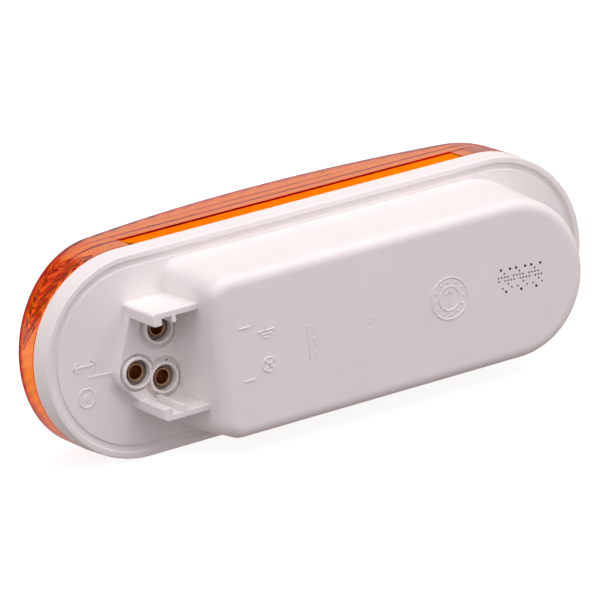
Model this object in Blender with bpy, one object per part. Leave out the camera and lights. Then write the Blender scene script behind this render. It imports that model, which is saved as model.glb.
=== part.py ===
"""Oval trailer tail light: an amber lens on a deep white housing with a three-socket plug bay.

The origin is the centre of the flange's rear face. +X runs along the lamp towards the plug bay,
+Y points out of the back of the housing, the lens faces -Y, and +Z is up. Lengths are in metres.
"""

import math

import bmesh
import bpy
from mathutils import Vector

MM = 0.001
GAP = 0.3 * MM  # clearance between neighbouring pieces

# Flange, the standard six-inch oval that a grommet holds
LENGTH = 165.1 * MM
FRONT_RADIUS = 27.5 * MM
REAR_RADIUS = 27.1 * MM
FLANGE_DEPTH = 6.6 * MM
END_CENTRE = LENGTH / 2 - FRONT_RADIUS
OPENING_RADIUS = 24.5 * MM
GROOVE_OUTER = 25.5 * MM
GROOVE_INNER = 23.6 * MM
GROOVE_DEPTH = 0.9 * MM
PLATE_Y = -0.4 * MM
FLOOR_Y = -3.8 * MM

# Channel in the flange's front face, which takes the lens's tongue and the bead of adhesive
CHANNEL_OUTER = 26.6 * MM
CHANNEL_INNER = 25.4 * MM
CHANNEL_DEPTH = 2.6 * MM
BEAD_HEIGHT = 0.7 * MM

# Lens, crowned along its length
CROWN_DEPTH = 31.8 * MM
LENS_END_DEPTH = 17.1 * MM
LENS_EDGE_RADIUS = 4.0 * MM
LENS_WALL = 2.2 * MM
LENS_FACE = 2.6 * MM
LENS_INNER_BEND = 2.0 * MM
FACE_RADII = (16.0 * MM, 8.0 * MM, 2.0 * MM)

# Back box of the housing
BOX_NEAR = 46.0 * MM
BOX_FAR = -69.1 * MM
BOX_HALF_HEIGHT = 22.9 * MM
BOX_DEPTH = 23.6 * MM
BOX_WALL = 2.2 * MM
BOX_CORNER = 5.0 * MM
BOX_EDGE_RADIUS = 3.2 * MM
BOX_INNER_CORNER = 1.0 * MM
BOX_DRAFT = math.radians(3.8)

# Plug bay
BAY_TOP = 14.85 * MM
BAY_BOTTOM = -13.75 * MM
SHROUD_WALL = 1.5 * MM
SHROUD_END_X = 58.2 * MM
SHROUD_END_Y = 15.8 * MM
SHROUD_LIP = (55.8 * MM, 58.2 * MM)
SHROUD_RIB = (51.7 * MM, 52.9 * MM)
SHROUD_HANG = 3.3 * MM
ROOT_X = 44.1 * MM
ROOT_Y = -1.7 * MM
BLOCK_Y = 3.0 * MM
PAD_MARGIN = 0.9 * MM
PAD_TOP_X = 57.6 * MM
PAD_BOTTOM_X = 56.8 * MM
PAD_BEND = 5.4 * MM
PAD_BEND_ANGLES = (15, -55)
BOSS_Y = 3.8 * MM
BOSS_RADIUS = 4.2 * MM
SOCKET_RADIUS = 3.4 * MM
SOCKETS = {
    "ground": (50.4 * MM, 7.0 * MM),
    "stop": (58.0 * MM, -3.2 * MM),
    "tail": (50.5 * MM, -6.3 * MM),
}

# Terminals and the board that carries them
TERMINAL_RADIUS = 2.3 * MM
TERMINAL_BORE = 1.85 * MM
TERMINAL_TOP = 2.4 * MM
SHOULDER_RADIUS = SOCKET_RADIUS - GAP
SHOULDER_Y = (0.8 * MM, 1.85 * MM)
TERMINAL_FLOOR = -5.0 * MM
COLLAR_RADIUS = 3.6 * MM
BOARD_THICKNESS = 2.0 * MM
COLLAR_THICKNESS = 0.8 * MM
TAIL_RADIUS = 1.0 * MM
TAIL_END = -10.4 * MM
SEAL_THICKNESS = 2.6 * MM
BOARD_X = (66.0 * MM, 46.2 * MM)
BOARD_HALF_HEIGHT = 13.0 * MM

# Bulb, on the lens's centre line
GLASS_RADIUS = 13.0 * MM
GLASS_CENTRE_Y = -7.0 * MM
GLASS_WALL = 0.8 * MM
NECK_RADIUS = 6.6 * MM
NECK_END_Y = 9.6 * MM
NECK_LENGTH = 5.5 * MM
NECK_BLEND = 18  # degrees of the ball that the neck takes up
BALL_STEPS = 12
STEM = ((2.6 * MM, 4.6 * MM), (2.2 * MM, 1.2 * MM))  # radius and depth at its waist and its tip
STEM_Y = (7.4 * MM, 9.2 * MM)
BASE_RADIUS = 7.6 * MM
BASE_WALL = 0.5 * MM
BASE_Y = (5.2 * MM, 16.4 * MM)
INSULATOR_Y = (13.2 * MM, 17.0 * MM)
CONTACT_RADIUS = 1.3 * MM
CONTACT_HEIGHT = MM
CONTACT_CHAMFER = 0.2 * MM
CONTACT_Z = 3.0 * MM
CONTACT_SIDES = {"stop": 1, "tail": -1}
FILAMENTS = {"stop": (-8.5 * MM, -1.5 * MM), "tail": (-5.5 * MM, 2.6 * MM)}  # depth and z
FILAMENT_RADIUS = 0.55 * MM
FILAMENT_SAG = 0.8 * MM
FILAMENT_STEPS = 8
POSTS = {  # x, z and the depth of its tip
    "common": (-5.0 * MM, 0.0, -9.2 * MM),
    "stop": (5.0 * MM, -1.5 * MM, -9.2 * MM),
    "tail": (5.0 * MM, 2.6 * MM, -6.2 * MM),
}
POST_RADIUS = 0.4 * MM
POST_ROOT_X = 1.4 * MM
POST_ROOT_SHARE = 0.35  # of its z, where it leaves the stem
POST_BENDS = ((0.92, 2.2 * MM), (1.0, 3.4 * MM))  # share of its x, and height over the stem

# Shock mount
CRADLE_Y = (9.4 * MM, 13.2 * MM)
CRADLE_SHEET = 0.8 * MM
EAR_X = 20.0 * MM
EAR_WIDTH = 8.0 * MM
ARM_OVERLAP = 0.35 * MM
ARM_PROUD = 0.02 * MM
BUSH_RADIUS = 3.4 * MM
BUSH_HEIGHT = 2.4 * MM
BUSH_GROOVE = 0.7 * MM
BUSH_LIP = 0.8 * MM
SCREW_RADIUS = 1.1 * MM
SCREW_HEAD_RADIUS = 2.7 * MM
SCREW_HEAD_HEIGHT = 1.5 * MM
SCREW_EDGE = 0.6 * MM
SCREW_RECESS = 0.9 * MM
SCREW_LENGTH = 8.0 * MM
SCREW_POINT = MM
SCREW_HOLE = 1.5 * MM
SCREW_HOLE_END = BOX_DEPTH - 2.9 * MM
POST_BOSS_RADIUS = 3.2 * MM

# Reflector
REFLECTOR_SHEET = 1.2 * MM
REFLECTOR_NEAR = 40.0 * MM
REFLECTOR_FAR = -77.6 * MM
REFLECTOR_HALF_HEIGHT = 22.7 * MM
REFLECTOR_FLOOR = 7.0 * MM
REFLECTOR_HOLE = 9.6 * MM
REFLECTOR_SCREWS = (29.0 * MM, -42.0 * MM)
RIM_CORNER = 5.0 * MM
REFLECTOR_MOUTH = (38.6 * MM, -64.4 * MM, 19.0 * MM, 5.0 * MM)  # near, far, half height, corner
REFLECTOR_MIDDLE = (37.2 * MM, -62.0 * MM, 17.6 * MM, 6.0 * MM)
REFLECTOR_BOTTOM = (34.4 * MM, -56.0 * MM, 14.6 * MM, 7.0 * MM)
MIDDLE_Y = (2.5 * MM, 2.9 * MM)  # of its front and its back

# Springs and the carrier behind the bulb
SPRING_X = (12.0 * MM, -3.0 * MM)
SPRING_HALF_WIDTH = 1.5 * MM
SPRING_SHEET = 0.5 * MM
CARRIER_X = (10.0 * MM, -8.0 * MM)
CARRIER_HALF_HEIGHT = 8.0 * MM

# Leads, each as points (x, y, z)
LEAD_RADIUS = 0.9 * MM
LEAD_LANES = {"ground": 12.0 * MM, "stop": -3.0 * MM, "tail": -10.0 * MM}  # z beside the reflector
LANE_SHARE = 0.4
LANE_ROUTE = ((43.2 * MM, -9.6 * MM), (41.9 * MM, -5.0 * MM), (41.8 * MM, 3.0 * MM), (41.0 * MM, 10.5 * MM))
TAIL_ROUTE = ((0.0, 0.35 * MM), (1.0 * MM, 2.2 * MM), (4.0 * MM, 2.6 * MM))  # from a terminal's tail
LEAD_END_Y = 18.9 * MM
LEAD_JOINT = (12.9 * MM, 1.25 * MM)  # x, and depth below the bulb's contacts
LEAD_ENDS = {
    "ground": ((31.0 * MM, 14.0 * MM, 10.5 * MM), (15.0 * MM, 13.6 * MM, 10.6 * MM),
               (6.0 * MM, 11.6 * MM, 10.4 * MM)),
    "stop": ((36.5 * MM, 16.6 * MM, 1.5 * MM), (30.0 * MM, LEAD_END_Y, 5.6 * MM),
             (22.0 * MM, LEAD_END_Y, 6.0 * MM)),
    "tail": ((36.5 * MM, 16.6 * MM, -8.0 * MM), (30.0 * MM, LEAD_END_Y, -6.4 * MM),
             (22.0 * MM, LEAD_END_Y, -6.0 * MM)),
}

CUT_OVERRUN = MM
SHARP_ANGLE = math.radians(35)
ARC_STEPS = 10
CORNER_STEPS = 4
EDGE_STEPS = 4
SIDE_STEPS = 8
TURN_STEPS = 16
MERGE = 0.001 * MM


def material(name, colour, roughness, metallic=0.0, alpha=1.0):
    """A Principled material."""
    made = bpy.data.materials.new(name)
    made.use_nodes = True
    shader = made.node_tree.nodes["Principled BSDF"]
    shader.inputs["Base Color"].default_value = (*colour, 1.0)
    shader.inputs["Roughness"].default_value = roughness
    shader.inputs["Metallic"].default_value = metallic
    shader.inputs["Alpha"].default_value = alpha
    made.diffuse_color = (*colour, alpha)
    return made


def add_object(name, bm, finish=None, cutter=False):
    """Turn a bmesh into a named object with its faces out."""
    bmesh.ops.recalc_face_normals(bm, faces=bm.faces)
    mesh = bpy.data.meshes.new(name)
    bm.to_mesh(mesh)
    bm.free()
    mesh.shade_smooth()
    mesh.set_sharp_from_angle(angle=SHARP_ANGLE)
    made = bpy.data.objects.new(name, mesh)
    bpy.context.scene.collection.objects.link(made)
    if finish:
        mesh.materials.append(finish)
    if cutter:
        made.hide_render = True
        made.display_type = "WIRE"
    return made


def combine(target, tools, operation):
    """Add one Boolean that joins or cuts with a list of tool objects."""
    label = f"{target.name}_{operation.lower()}"
    group = bpy.data.collections.new(label)
    bpy.context.scene.collection.children.link(group)
    for tool in tools:
        group.objects.link(tool)
        bpy.context.scene.collection.objects.unlink(tool)
    modifier = target.modifiers.new(label, "BOOLEAN")
    modifier.operation = operation
    modifier.solver = "EXACT"
    modifier.operand_type = "COLLECTION"
    modifier.collection = group


# Outlines are lists of (x, z), from the +X end over the top to the -X end and back underneath.


def arc(centre, radius, start, end, steps):
    """Points on an arc, angles in degrees, with both ends."""
    angles = [math.radians(start + (end - start) * i / steps) for i in range(steps + 1)]
    return [(centre[0] + radius * math.cos(a), centre[1] + radius * math.sin(a)) for a in angles]


def mirrored(upper):
    """Close an upper half outline with its mirror image below."""
    return upper + [(x, -z) for x, z in reversed(upper[1:-1])]


def side(near, far, height):
    """Inner points of a straight side."""
    return [(near + (far - near) * i / SIDE_STEPS, height) for i in range(1, SIDE_STEPS)]


def oval(radius, reach=END_CENTRE):
    """The lamp's oval outline at a radius."""
    near = arc((reach, 0), radius, 0, 90, ARC_STEPS)
    far = arc((-reach, 0), radius, 90, 180, ARC_STEPS)
    return mirrored(near + side(reach, -reach, radius) + far)


def tray(near, far, height, corner):
    """An outline with a flat near end, small near corners and a round far end."""
    flat_steps = ARC_STEPS - CORNER_STEPS
    flat = [(near, (height - corner) * i / flat_steps) for i in range(flat_steps)]
    bend = arc((near - corner, height - corner), corner, 0, 90, CORNER_STEPS)
    far_centre = far + height
    round_end = arc((far_centre, 0), height, 90, 180, ARC_STEPS)
    return mirrored(flat + bend + side(near - corner, far_centre, height) + round_end)


def circle_facing(outline, centre, radius):
    """Points of a circle, each in the direction of the matching point of an outline."""
    angles = [math.atan2(z - centre[1], x - centre[0]) for x, z in outline]
    return [(centre[0] + radius * math.cos(a), centre[1] + radius * math.sin(a)) for a in angles]


def box_outline(y, inset=0.0):
    """The back box's outline at a depth, drawn in by its draft."""
    drawn_in = max(y, 0.0) * math.tan(BOX_DRAFT) + inset
    corner = max(BOX_CORNER - inset, BOX_INNER_CORNER)
    return tray(BOX_NEAR - drawn_in, BOX_FAR + drawn_in, BOX_HALF_HEIGHT - drawn_in, corner)


def edge_bend(radius):
    """Steps round a quarter bend: how far each is drawn in, and how far it rises."""
    angles = [math.pi / 2 * step / EDGE_STEPS for step in range(EDGE_STEPS + 1)]
    return [(radius * (1 - math.cos(a)), radius * math.sin(a)) for a in angles]


def at(outline, y):
    """Place an outline at a depth, which may be a function of x and z."""
    depth = y if callable(y) else lambda x, z: y
    return [Vector((x, depth(x, z), z)) for x, z in outline]


def skin(bm, rings, loop=False):
    """Join rings of equal count with quads, and close the first to the last if they loop."""
    rows = [[bm.verts.new(p) for p in ring] for ring in rings]
    pairs = list(zip(rows, rows[1:]))
    if loop:
        pairs.append((rows[-1], rows[0]))
    for first, second in pairs:
        count = len(first)
        for i in range(count):
            j = (i + 1) % count
            bm.faces.new((first[i], first[j], second[j], second[i]))
    return rows


def ladder_cap(bm, row):
    """Close a ring that mirrors about z = 0 with rungs from top to bottom."""
    count = len(row)
    half = count // 2
    bm.faces.new((row[0], row[1], row[-1]))
    for i in range(1, half - 1):
        bm.faces.new((row[i], row[i + 1], row[count - i - 1], row[count - i]))
    bm.faces.new((row[half - 1], row[half], row[half + 1]))


def lofted(name, rings, finish=None, loop=False, crowned=False):
    """A solid through rings, capped at both ends unless it loops."""
    bm = bmesh.new()
    rows = skin(bm, rings, loop)
    if not loop:
        for row in (rows[0], rows[-1]):
            if crowned:
                ladder_cap(bm, row)
            else:
                bm.faces.new(row)
    return add_object(name, bm, finish)


def turned(name, profile, centre, finish=None, cutter=False, closed=False):
    """A solid turned about an axis along Y through centre (x, z), from a profile of (radius, y).

    A closed profile makes a ring, and an open one starts and ends on the axis.
    """
    bm = bmesh.new()
    x, z = centre
    points = [bm.verts.new((x + r, y, z)) for r, y in profile]
    edges = [bm.edges.new(pair) for pair in zip(points, points[1:])]
    if closed:
        edges.append(bm.edges.new((points[-1], points[0])))
    bmesh.ops.spin(
        bm,
        geom=points + edges,
        cent=(x, 0, z),
        axis=(0, 1, 0),
        angle=math.tau,
        steps=TURN_STEPS,
        use_merge=True,
    )
    bmesh.ops.remove_doubles(bm, verts=bm.verts, dist=MERGE)
    return add_object(name, bm, finish, cutter)


def prism(name, outline, low, high, finish=None, cutter=False):
    """A straight extrusion along Y of an outline of (x, z)."""
    bm = bmesh.new()
    rows = skin(bm, [at(outline, low), at(outline, high)])
    bm.faces.new(rows[0])
    bm.faces.new(list(reversed(rows[1])))
    return add_object(name, bm, finish, cutter)


def rectangle(near, far, low, high):
    """A rectangle's outline in x and z."""
    return [(near, low), (near, high), (far, high), (far, low)]


def cylinder(name, centre, radius, low, high, finish=None, cutter=False):
    """A round bar along Y."""
    profile = [(0, low), (radius, low), (radius, high), (0, high)]
    return turned(name, profile, centre, finish, cutter)


def tube(name, points, radius, finish):
    """A round wire through a smooth curve of points, with filled ends."""
    curve = bpy.data.curves.new(name, "CURVE")
    curve.dimensions = "3D"
    curve.bevel_depth = radius
    curve.bevel_resolution = 2
    curve.use_fill_caps = True
    curve.materials.append(finish)
    spline = curve.splines.new("POLY")
    spline.points.add(len(points) - 1)
    for slot, point in zip(spline.points, points):
        slot.co = (*point, 1.0)
    made = bpy.data.objects.new(name, curve)
    bpy.context.scene.collection.objects.link(made)
    return made


def smooth_route(points, steps=4):
    """A Catmull-Rom curve through points."""
    padded = [2 * points[0] - points[1], *points, 2 * points[-1] - points[-2]]
    route = []
    for a, b, c, d in zip(padded, padded[1:], padded[2:], padded[3:]):
        for i in range(steps):
            t = i / steps
            route.append(
                0.5 * (2 * b + (c - a) * t + (2 * a - 5 * b + 4 * c - d) * t * t)
                + 0.5 * (3 * b - a - 3 * c + d) * t ** 3
            )
    return route + [points[-1]]


# Finishes


WHITE = material("white plastic", (0.86, 0.83, 0.84), 0.42)
AMBER = material("amber plastic", (0.95, 0.33, 0.02), 0.08, alpha=0.6)
BEAD = material("clear adhesive", (0.85, 0.8, 0.7), 0.3)
MIRROR = material("metallised plastic", (0.85, 0.86, 0.88), 0.08, metallic=1.0)
GLASS = material("glass", (0.92, 0.95, 0.95), 0.02, alpha=0.35)
BRASS = material("brass", (0.72, 0.5, 0.24), 0.28, metallic=1.0)
STEEL = material("spring steel", (0.62, 0.63, 0.65), 0.3, metallic=1.0)
TUNGSTEN = material("tungsten", (0.32, 0.32, 0.34), 0.4, metallic=1.0)
SOLDER = material("solder", (0.6, 0.6, 0.6), 0.35, metallic=1.0)
BLACK = material("black insulator", (0.03, 0.03, 0.03), 0.35)
BOARD = material("brown laminate", (0.32, 0.19, 0.09), 0.6)
RUBBER = material("silicone rubber", (0.16, 0.16, 0.17), 0.7)
POTTING = material("potting compound", (0.12, 0.11, 0.1), 0.45)
LEADS = {
    "ground": material("white lead", (0.85, 0.85, 0.83), 0.45),
    "stop": material("yellow lead", (0.85, 0.65, 0.08), 0.45),
    "tail": material("brown lead", (0.3, 0.15, 0.07), 0.45),
}


def crown(x, z):
    """Depth of the lens's face at a point."""
    share = x / (LENGTH / 2)
    return -(CROWN_DEPTH - (CROWN_DEPTH - LENS_END_DEPTH) * share * share)


def lens():
    """The lens: a crowned face, a rounded edge, side walls and a tongue under them."""
    foot = -(FLANGE_DEPTH + GAP)
    tongue_outer = CHANNEL_OUTER - GAP
    tongue_inner = CHANNEL_INNER + GAP
    tongue_end = -(FLANGE_DEPTH - CHANNEL_DEPTH + 2 * GAP + BEAD_HEIGHT)
    outer = []
    for inset, rise in edge_bend(LENS_EDGE_RADIUS):
        drop = LENS_EDGE_RADIUS - rise
        outer.append(at(oval(FRONT_RADIUS - inset), lambda x, z, d=drop: crown(x, z) + d))
    for radius in FACE_RADII:
        outer.append(at(oval(radius), crown))
    wall_radius = FRONT_RADIUS - LENS_WALL
    inner = []
    for radius in (*reversed(FACE_RADII), wall_radius - LENS_INNER_BEND):
        inner.append(at(oval(radius), lambda x, z: crown(x, z) + LENS_FACE))
    wall = oval(wall_radius)
    inner.append(at(wall, lambda x, z: crown(x, z) + LENS_FACE + LENS_INNER_BEND))
    inner.append(at(wall, foot))
    skirt = [
        at(oval(tongue_inner), foot),
        at(oval(tongue_inner), tongue_end),
        at(oval(tongue_outer), tongue_end),
        at(oval(tongue_outer), foot),
        at(oval(FRONT_RADIUS), foot),
    ]
    lofted("lens", inner + skirt + outer, AMBER, crowned=True)


def lens_bead():
    """The bead of adhesive in the flange's channel."""
    low = -(FLANGE_DEPTH - CHANNEL_DEPTH + GAP + BEAD_HEIGHT)
    high = -(FLANGE_DEPTH - CHANNEL_DEPTH + GAP)
    outer = oval(CHANNEL_OUTER - GAP)
    inner = oval(CHANNEL_INNER + GAP)
    rings = [at(outer, low), at(outer, high), at(inner, high), at(inner, low)]
    lofted("lens_seal_bead", rings, BEAD, loop=True)


def housing_shell():
    """The moulded shell: box, plate, rear groove and flange, open to the lens."""
    inside = [at(box_outline(y, BOX_WALL), y) for y in (BOX_DEPTH - BOX_WALL, 0.0)]
    inside.append(at(box_outline(0.0, BOX_WALL), FLOOR_Y))
    channel_floor = -(FLANGE_DEPTH - CHANNEL_DEPTH)
    flange = [
        at(oval(OPENING_RADIUS), FLOOR_Y),
        at(oval(OPENING_RADIUS), -FLANGE_DEPTH),
        at(oval(CHANNEL_INNER), -FLANGE_DEPTH),
        at(oval(CHANNEL_INNER), channel_floor),
        at(oval(CHANNEL_OUTER), channel_floor),
        at(oval(CHANNEL_OUTER), -FLANGE_DEPTH),
        at(oval(FRONT_RADIUS), -FLANGE_DEPTH),
        at(oval(REAR_RADIUS), 0.0),
        at(oval(GROOVE_OUTER), 0.0),
        at(oval(GROOVE_OUTER), -GROOVE_DEPTH),
        at(oval(GROOVE_INNER), -GROOVE_DEPTH),
        at(oval(GROOVE_INNER), PLATE_Y),
    ]
    wall_top = BOX_DEPTH - BOX_EDGE_RADIUS
    outside = [at(box_outline(0.0), PLATE_Y)]
    for inset, rise in edge_bend(BOX_EDGE_RADIUS):
        outside.append(at(box_outline(wall_top, inset), wall_top + rise))
    return lofted("housing", inside + flange + outside, WHITE)


def shroud_outline(face, inward):
    """A plug shroud's section: a wall, an outer lip and an inner rib. inward is -1 or +1."""
    wall = face + inward * SHROUD_WALL
    edge = face + inward * SHROUD_HANG
    return [
        (ROOT_X, face),
        (SHROUD_END_X, face),
        (SHROUD_END_X, edge),
        (SHROUD_LIP[0], edge),
        (SHROUD_LIP[0], wall),
        (SHROUD_RIB[1], wall),
        (SHROUD_RIB[1], edge),
        (SHROUD_RIB[0], edge),
        (SHROUD_RIB[0], wall),
        (ROOT_X, wall),
    ]


def plug_block_outline():
    """The raised pad round the sockets, which slants out and turns round the stop socket."""
    top = BAY_TOP - PAD_MARGIN
    bottom = BAY_BOTTOM + PAD_MARGIN
    bend = arc(SOCKETS["stop"], PAD_BEND, *PAD_BEND_ANGLES, CORNER_STEPS)
    return [(ROOT_X, top), (PAD_TOP_X, top), *bend, (PAD_BOTTOM_X, bottom), (ROOT_X, bottom)]


def housing():
    """The white housing with its plug bay and the bosses that take the screws."""
    body = housing_shell()
    shroud_ends = (ROOT_Y, SHROUD_END_Y)
    joined = [
        prism("plug_block", plug_block_outline(), ROOT_Y, BLOCK_Y, cutter=True),
        prism("shroud_top", shroud_outline(BAY_TOP, -1), *shroud_ends, cutter=True),
        prism("shroud_bottom", shroud_outline(BAY_BOTTOM, 1), *shroud_ends, cutter=True),
    ]
    holes = []
    for name, centre in SOCKETS.items():
        joined.append(cylinder(f"boss_{name}", centre, BOSS_RADIUS, ROOT_Y, BOSS_Y, cutter=True))
        ends = (FLOOR_Y - CUT_OVERRUN, BOSS_Y + CUT_OVERRUN)
        holes.append(cylinder(f"socket_{name}", centre, SOCKET_RADIUS, *ends, cutter=True))
    for x, top in screw_places():
        back = BOX_DEPTH - BOX_WALL / 2
        joined.append(cylinder(f"post_{x:.3f}", (x, 0), POST_BOSS_RADIUS, top, back, cutter=True))
        ends = (top - CUT_OVERRUN, SCREW_HOLE_END)
        holes.append(cylinder(f"hole_{x:.3f}", (x, 0), SCREW_RADIUS + GAP, *ends, cutter=True))
    combine(body, joined, "UNION")
    combine(body, holes, "DIFFERENCE")


def screw_places():
    """Each screw's x and the depth of its boss's top."""
    cradle_top = CRADLE_Y[1] + 2 * GAP + BUSH_HEIGHT
    reflector_top = REFLECTOR_FLOOR + REFLECTOR_SHEET + GAP
    return [
        (EAR_X, cradle_top),
        (-EAR_X, cradle_top),
        (REFLECTOR_SCREWS[0], reflector_top),
        (REFLECTOR_SCREWS[1], reflector_top),
    ]


def screw(name, x, head_y):
    """A pan-head screw along +Y whose head starts at head_y."""
    shoulder = head_y + SCREW_HEAD_HEIGHT
    profile = [
        (0, head_y + SCREW_EDGE),
        (SCREW_RECESS, head_y + SCREW_EDGE),
        (SCREW_RECESS, head_y),
        (SCREW_HEAD_RADIUS - SCREW_EDGE, head_y),
        (SCREW_HEAD_RADIUS, head_y + SCREW_EDGE),
        (SCREW_HEAD_RADIUS, shoulder),
        (SCREW_RADIUS, shoulder),
        (SCREW_RADIUS, shoulder + SCREW_LENGTH - SCREW_POINT),
        (0, shoulder + SCREW_LENGTH),
    ]
    turned(name, profile, (x, 0), STEEL)


def reflector():
    """The metallised bowl behind the bulb, with a rim, a hole for the neck and two screw holes."""
    rim_y = FLOOR_Y - GAP - REFLECTOR_SHEET

    def grown(outline, grow):
        near, far, height, corner = outline
        return tray(near + grow, far - grow, height + grow, corner)

    rim_outline = (REFLECTOR_NEAR, REFLECTOR_FAR, REFLECTOR_HALF_HEIGHT, RIM_CORNER)
    outlines = (rim_outline, REFLECTOR_MOUTH, REFLECTOR_MIDDLE, REFLECTOR_BOTTOM)
    rim, mouth, middle, floor = (grown(outline, 0.0) for outline in outlines)
    _, mouth_back, middle_back, floor_back = (grown(o, REFLECTOR_SHEET) for o in outlines)
    hole = circle_facing(floor, (0, 0), REFLECTOR_HOLE)
    rings = [
        at(hole, REFLECTOR_FLOOR),
        at(floor, REFLECTOR_FLOOR),
        at(middle, MIDDLE_Y[0]),
        at(mouth, rim_y),
        at(rim, rim_y),
        at(rim, rim_y + REFLECTOR_SHEET),
        at(mouth_back, rim_y + REFLECTOR_SHEET),
        at(middle_back, MIDDLE_Y[1]),
        at(floor_back, REFLECTOR_FLOOR + REFLECTOR_SHEET),
        at(hole, REFLECTOR_FLOOR + REFLECTOR_SHEET),
    ]
    body = lofted("reflector", rings, MIRROR, loop=True)
    low = REFLECTOR_FLOOR - CUT_OVERRUN
    high = REFLECTOR_FLOOR + REFLECTOR_SHEET + CUT_OVERRUN
    holes = [
        cylinder(f"reflector_hole_{x:.3f}", (x, 0), SCREW_HOLE, low, high, cutter=True)
        for x in REFLECTOR_SCREWS
    ]
    combine(body, holes, "DIFFERENCE")


def bulb():
    """The dual-filament bulb, in its separate pieces."""
    inner_radius = GLASS_RADIUS - GLASS_WALL

    def envelope(radius, neck):
        end = math.pi - math.asin(neck / radius) - math.radians(NECK_BLEND)
        turns = [end * i / BALL_STEPS for i in range(BALL_STEPS + 1)]
        ball = [(radius * math.sin(a), GLASS_CENTRE_Y - radius * math.cos(a)) for a in turns]
        return ball + [(neck, NECK_END_Y - NECK_LENGTH), (neck, NECK_END_Y)]

    outer = envelope(GLASS_RADIUS, NECK_RADIUS)
    inner = envelope(inner_radius, NECK_RADIUS - GLASS_WALL)
    turned("bulb_glass", outer + inner[::-1], (0, 0), GLASS)
    stem_radius = NECK_RADIUS - GLASS_WALL - GAP
    stem_low, stem_high = STEM_Y
    stem = [(0, stem_high), (stem_radius, stem_high), (stem_radius, stem_low), *STEM, (0, STEM[1][1])]
    turned("bulb_stem", stem, (0, 0), GLASS)
    low, high = BASE_Y
    shell = [
        (BASE_RADIUS - BASE_WALL, low),
        (BASE_RADIUS, low),
        (BASE_RADIUS, high),
        (BASE_RADIUS - BASE_WALL, high),
    ]
    turned("bulb_base", shell, (0, 0), BRASS, closed=True)
    cylinder("bulb_insulator", (0, 0), BASE_RADIUS - BASE_WALL - GAP, *INSULATOR_Y, BLACK)
    for name, sign in CONTACT_SIDES.items():
        start = INSULATOR_Y[1] + GAP
        dome = [
            (0, start),
            (CONTACT_RADIUS, start),
            (CONTACT_RADIUS - CONTACT_CHAMFER, start + CONTACT_HEIGHT - CONTACT_CHAMFER),
            (0, start + CONTACT_HEIGHT),
        ]
        turned(f"bulb_contact_{name}", dome, (0, sign * CONTACT_Z), SOLDER)


def filaments():
    """The two filaments and the three wires that carry them."""
    foot = STEM[1][1] - GAP
    for name, (x, z, tip) in POSTS.items():
        route = [Vector((math.copysign(POST_ROOT_X, x), foot, POST_ROOT_SHARE * z))]
        for share, height in POST_BENDS:
            route.append(Vector((x * share, foot - height, z)))
        route.append(Vector((x, tip, z)))
        tube(f"filament_post_{name}", route, POST_RADIUS, STEEL)
    for name, (y, z) in FILAMENTS.items():
        reach = POSTS[name][0] - POST_RADIUS - GAP
        route = []
        for i in range(FILAMENT_STEPS + 1):
            share = i / FILAMENT_STEPS
            sag = FILAMENT_SAG * math.sin(math.pi * share)
            route.append(Vector((reach * (2 * share - 1), y - sag, z * share)))
        tube(f"filament_{name}", route, FILAMENT_RADIUS, TUNGSTEN)


def shock_mount():
    """The spring cradle round the bulb's base, its two rubber bushes and its screws."""
    low, high = CRADLE_Y
    inner = BASE_RADIUS + GAP
    outer = inner + CRADLE_SHEET
    ring = [(inner, low), (outer, low), (outer, high), (inner, high)]
    body = turned("bulb_cradle", ring, (0, 0), STEEL, closed=True)
    arms = []
    holes = []
    for sign in (1, -1):
        ends = sorted((sign * (inner + ARM_OVERLAP), sign * (EAR_X + EAR_WIDTH / 2)))
        outline = rectangle(ends[1], ends[0], -EAR_WIDTH / 2, EAR_WIDTH / 2)
        sheet = (high - CRADLE_SHEET, high + ARM_PROUD)
        arms.append(prism(f"cradle_arm_{sign}", outline, *sheet, cutter=True))
        hole_ends = (high - CRADLE_SHEET - CUT_OVERRUN, high + CUT_OVERRUN)
        centre = (sign * EAR_X, 0)
        holes.append(cylinder(f"cradle_hole_{sign}", centre, SCREW_HOLE, *hole_ends, cutter=True))
        bush_low = high + GAP
        bush = [
            (SCREW_HOLE, bush_low),
            (BUSH_RADIUS, bush_low),
            (BUSH_RADIUS, bush_low + BUSH_LIP),
            (BUSH_RADIUS - BUSH_GROOVE, bush_low + BUSH_HEIGHT / 2),
            (BUSH_RADIUS, bush_low + BUSH_HEIGHT - BUSH_LIP),
            (BUSH_RADIUS, bush_low + BUSH_HEIGHT),
            (SCREW_HOLE, bush_low + BUSH_HEIGHT),
        ]
        label = "near" if sign > 0 else "far"
        turned(f"shock_bush_{label}", bush, (sign * EAR_X, 0), RUBBER, closed=True)
        head_y = high - CRADLE_SHEET - GAP - SCREW_HEAD_HEIGHT
        screw(f"cradle_screw_{label}", sign * EAR_X, head_y)
    combine(body, arms, "UNION")
    combine(body, holes, "DIFFERENCE")
    for x, label in zip(REFLECTOR_SCREWS, ("near", "far")):
        screw(f"reflector_screw_{label}", x, REFLECTOR_FLOOR - GAP - SCREW_HEAD_HEIGHT)


def contacts():
    """The carrier on the box's back wall and the two spring strips that press on the bulb."""
    strip_low = INSULATOR_Y[1] + 2 * GAP + CONTACT_HEIGHT
    strip_high = strip_low + SPRING_SHEET
    for name, sign in CONTACT_SIDES.items():
        centre = sign * CONTACT_Z
        outline = rectangle(*SPRING_X, centre - SPRING_HALF_WIDTH, centre + SPRING_HALF_WIDTH)
        prism(f"contact_spring_{name}", outline, strip_low, strip_high, BRASS)
    carrier = rectangle(*CARRIER_X, -CARRIER_HALF_HEIGHT, CARRIER_HALF_HEIGHT)
    prism("contact_carrier", carrier, strip_high + GAP, BOX_DEPTH - BOX_WALL - GAP, BOARD)


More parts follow.
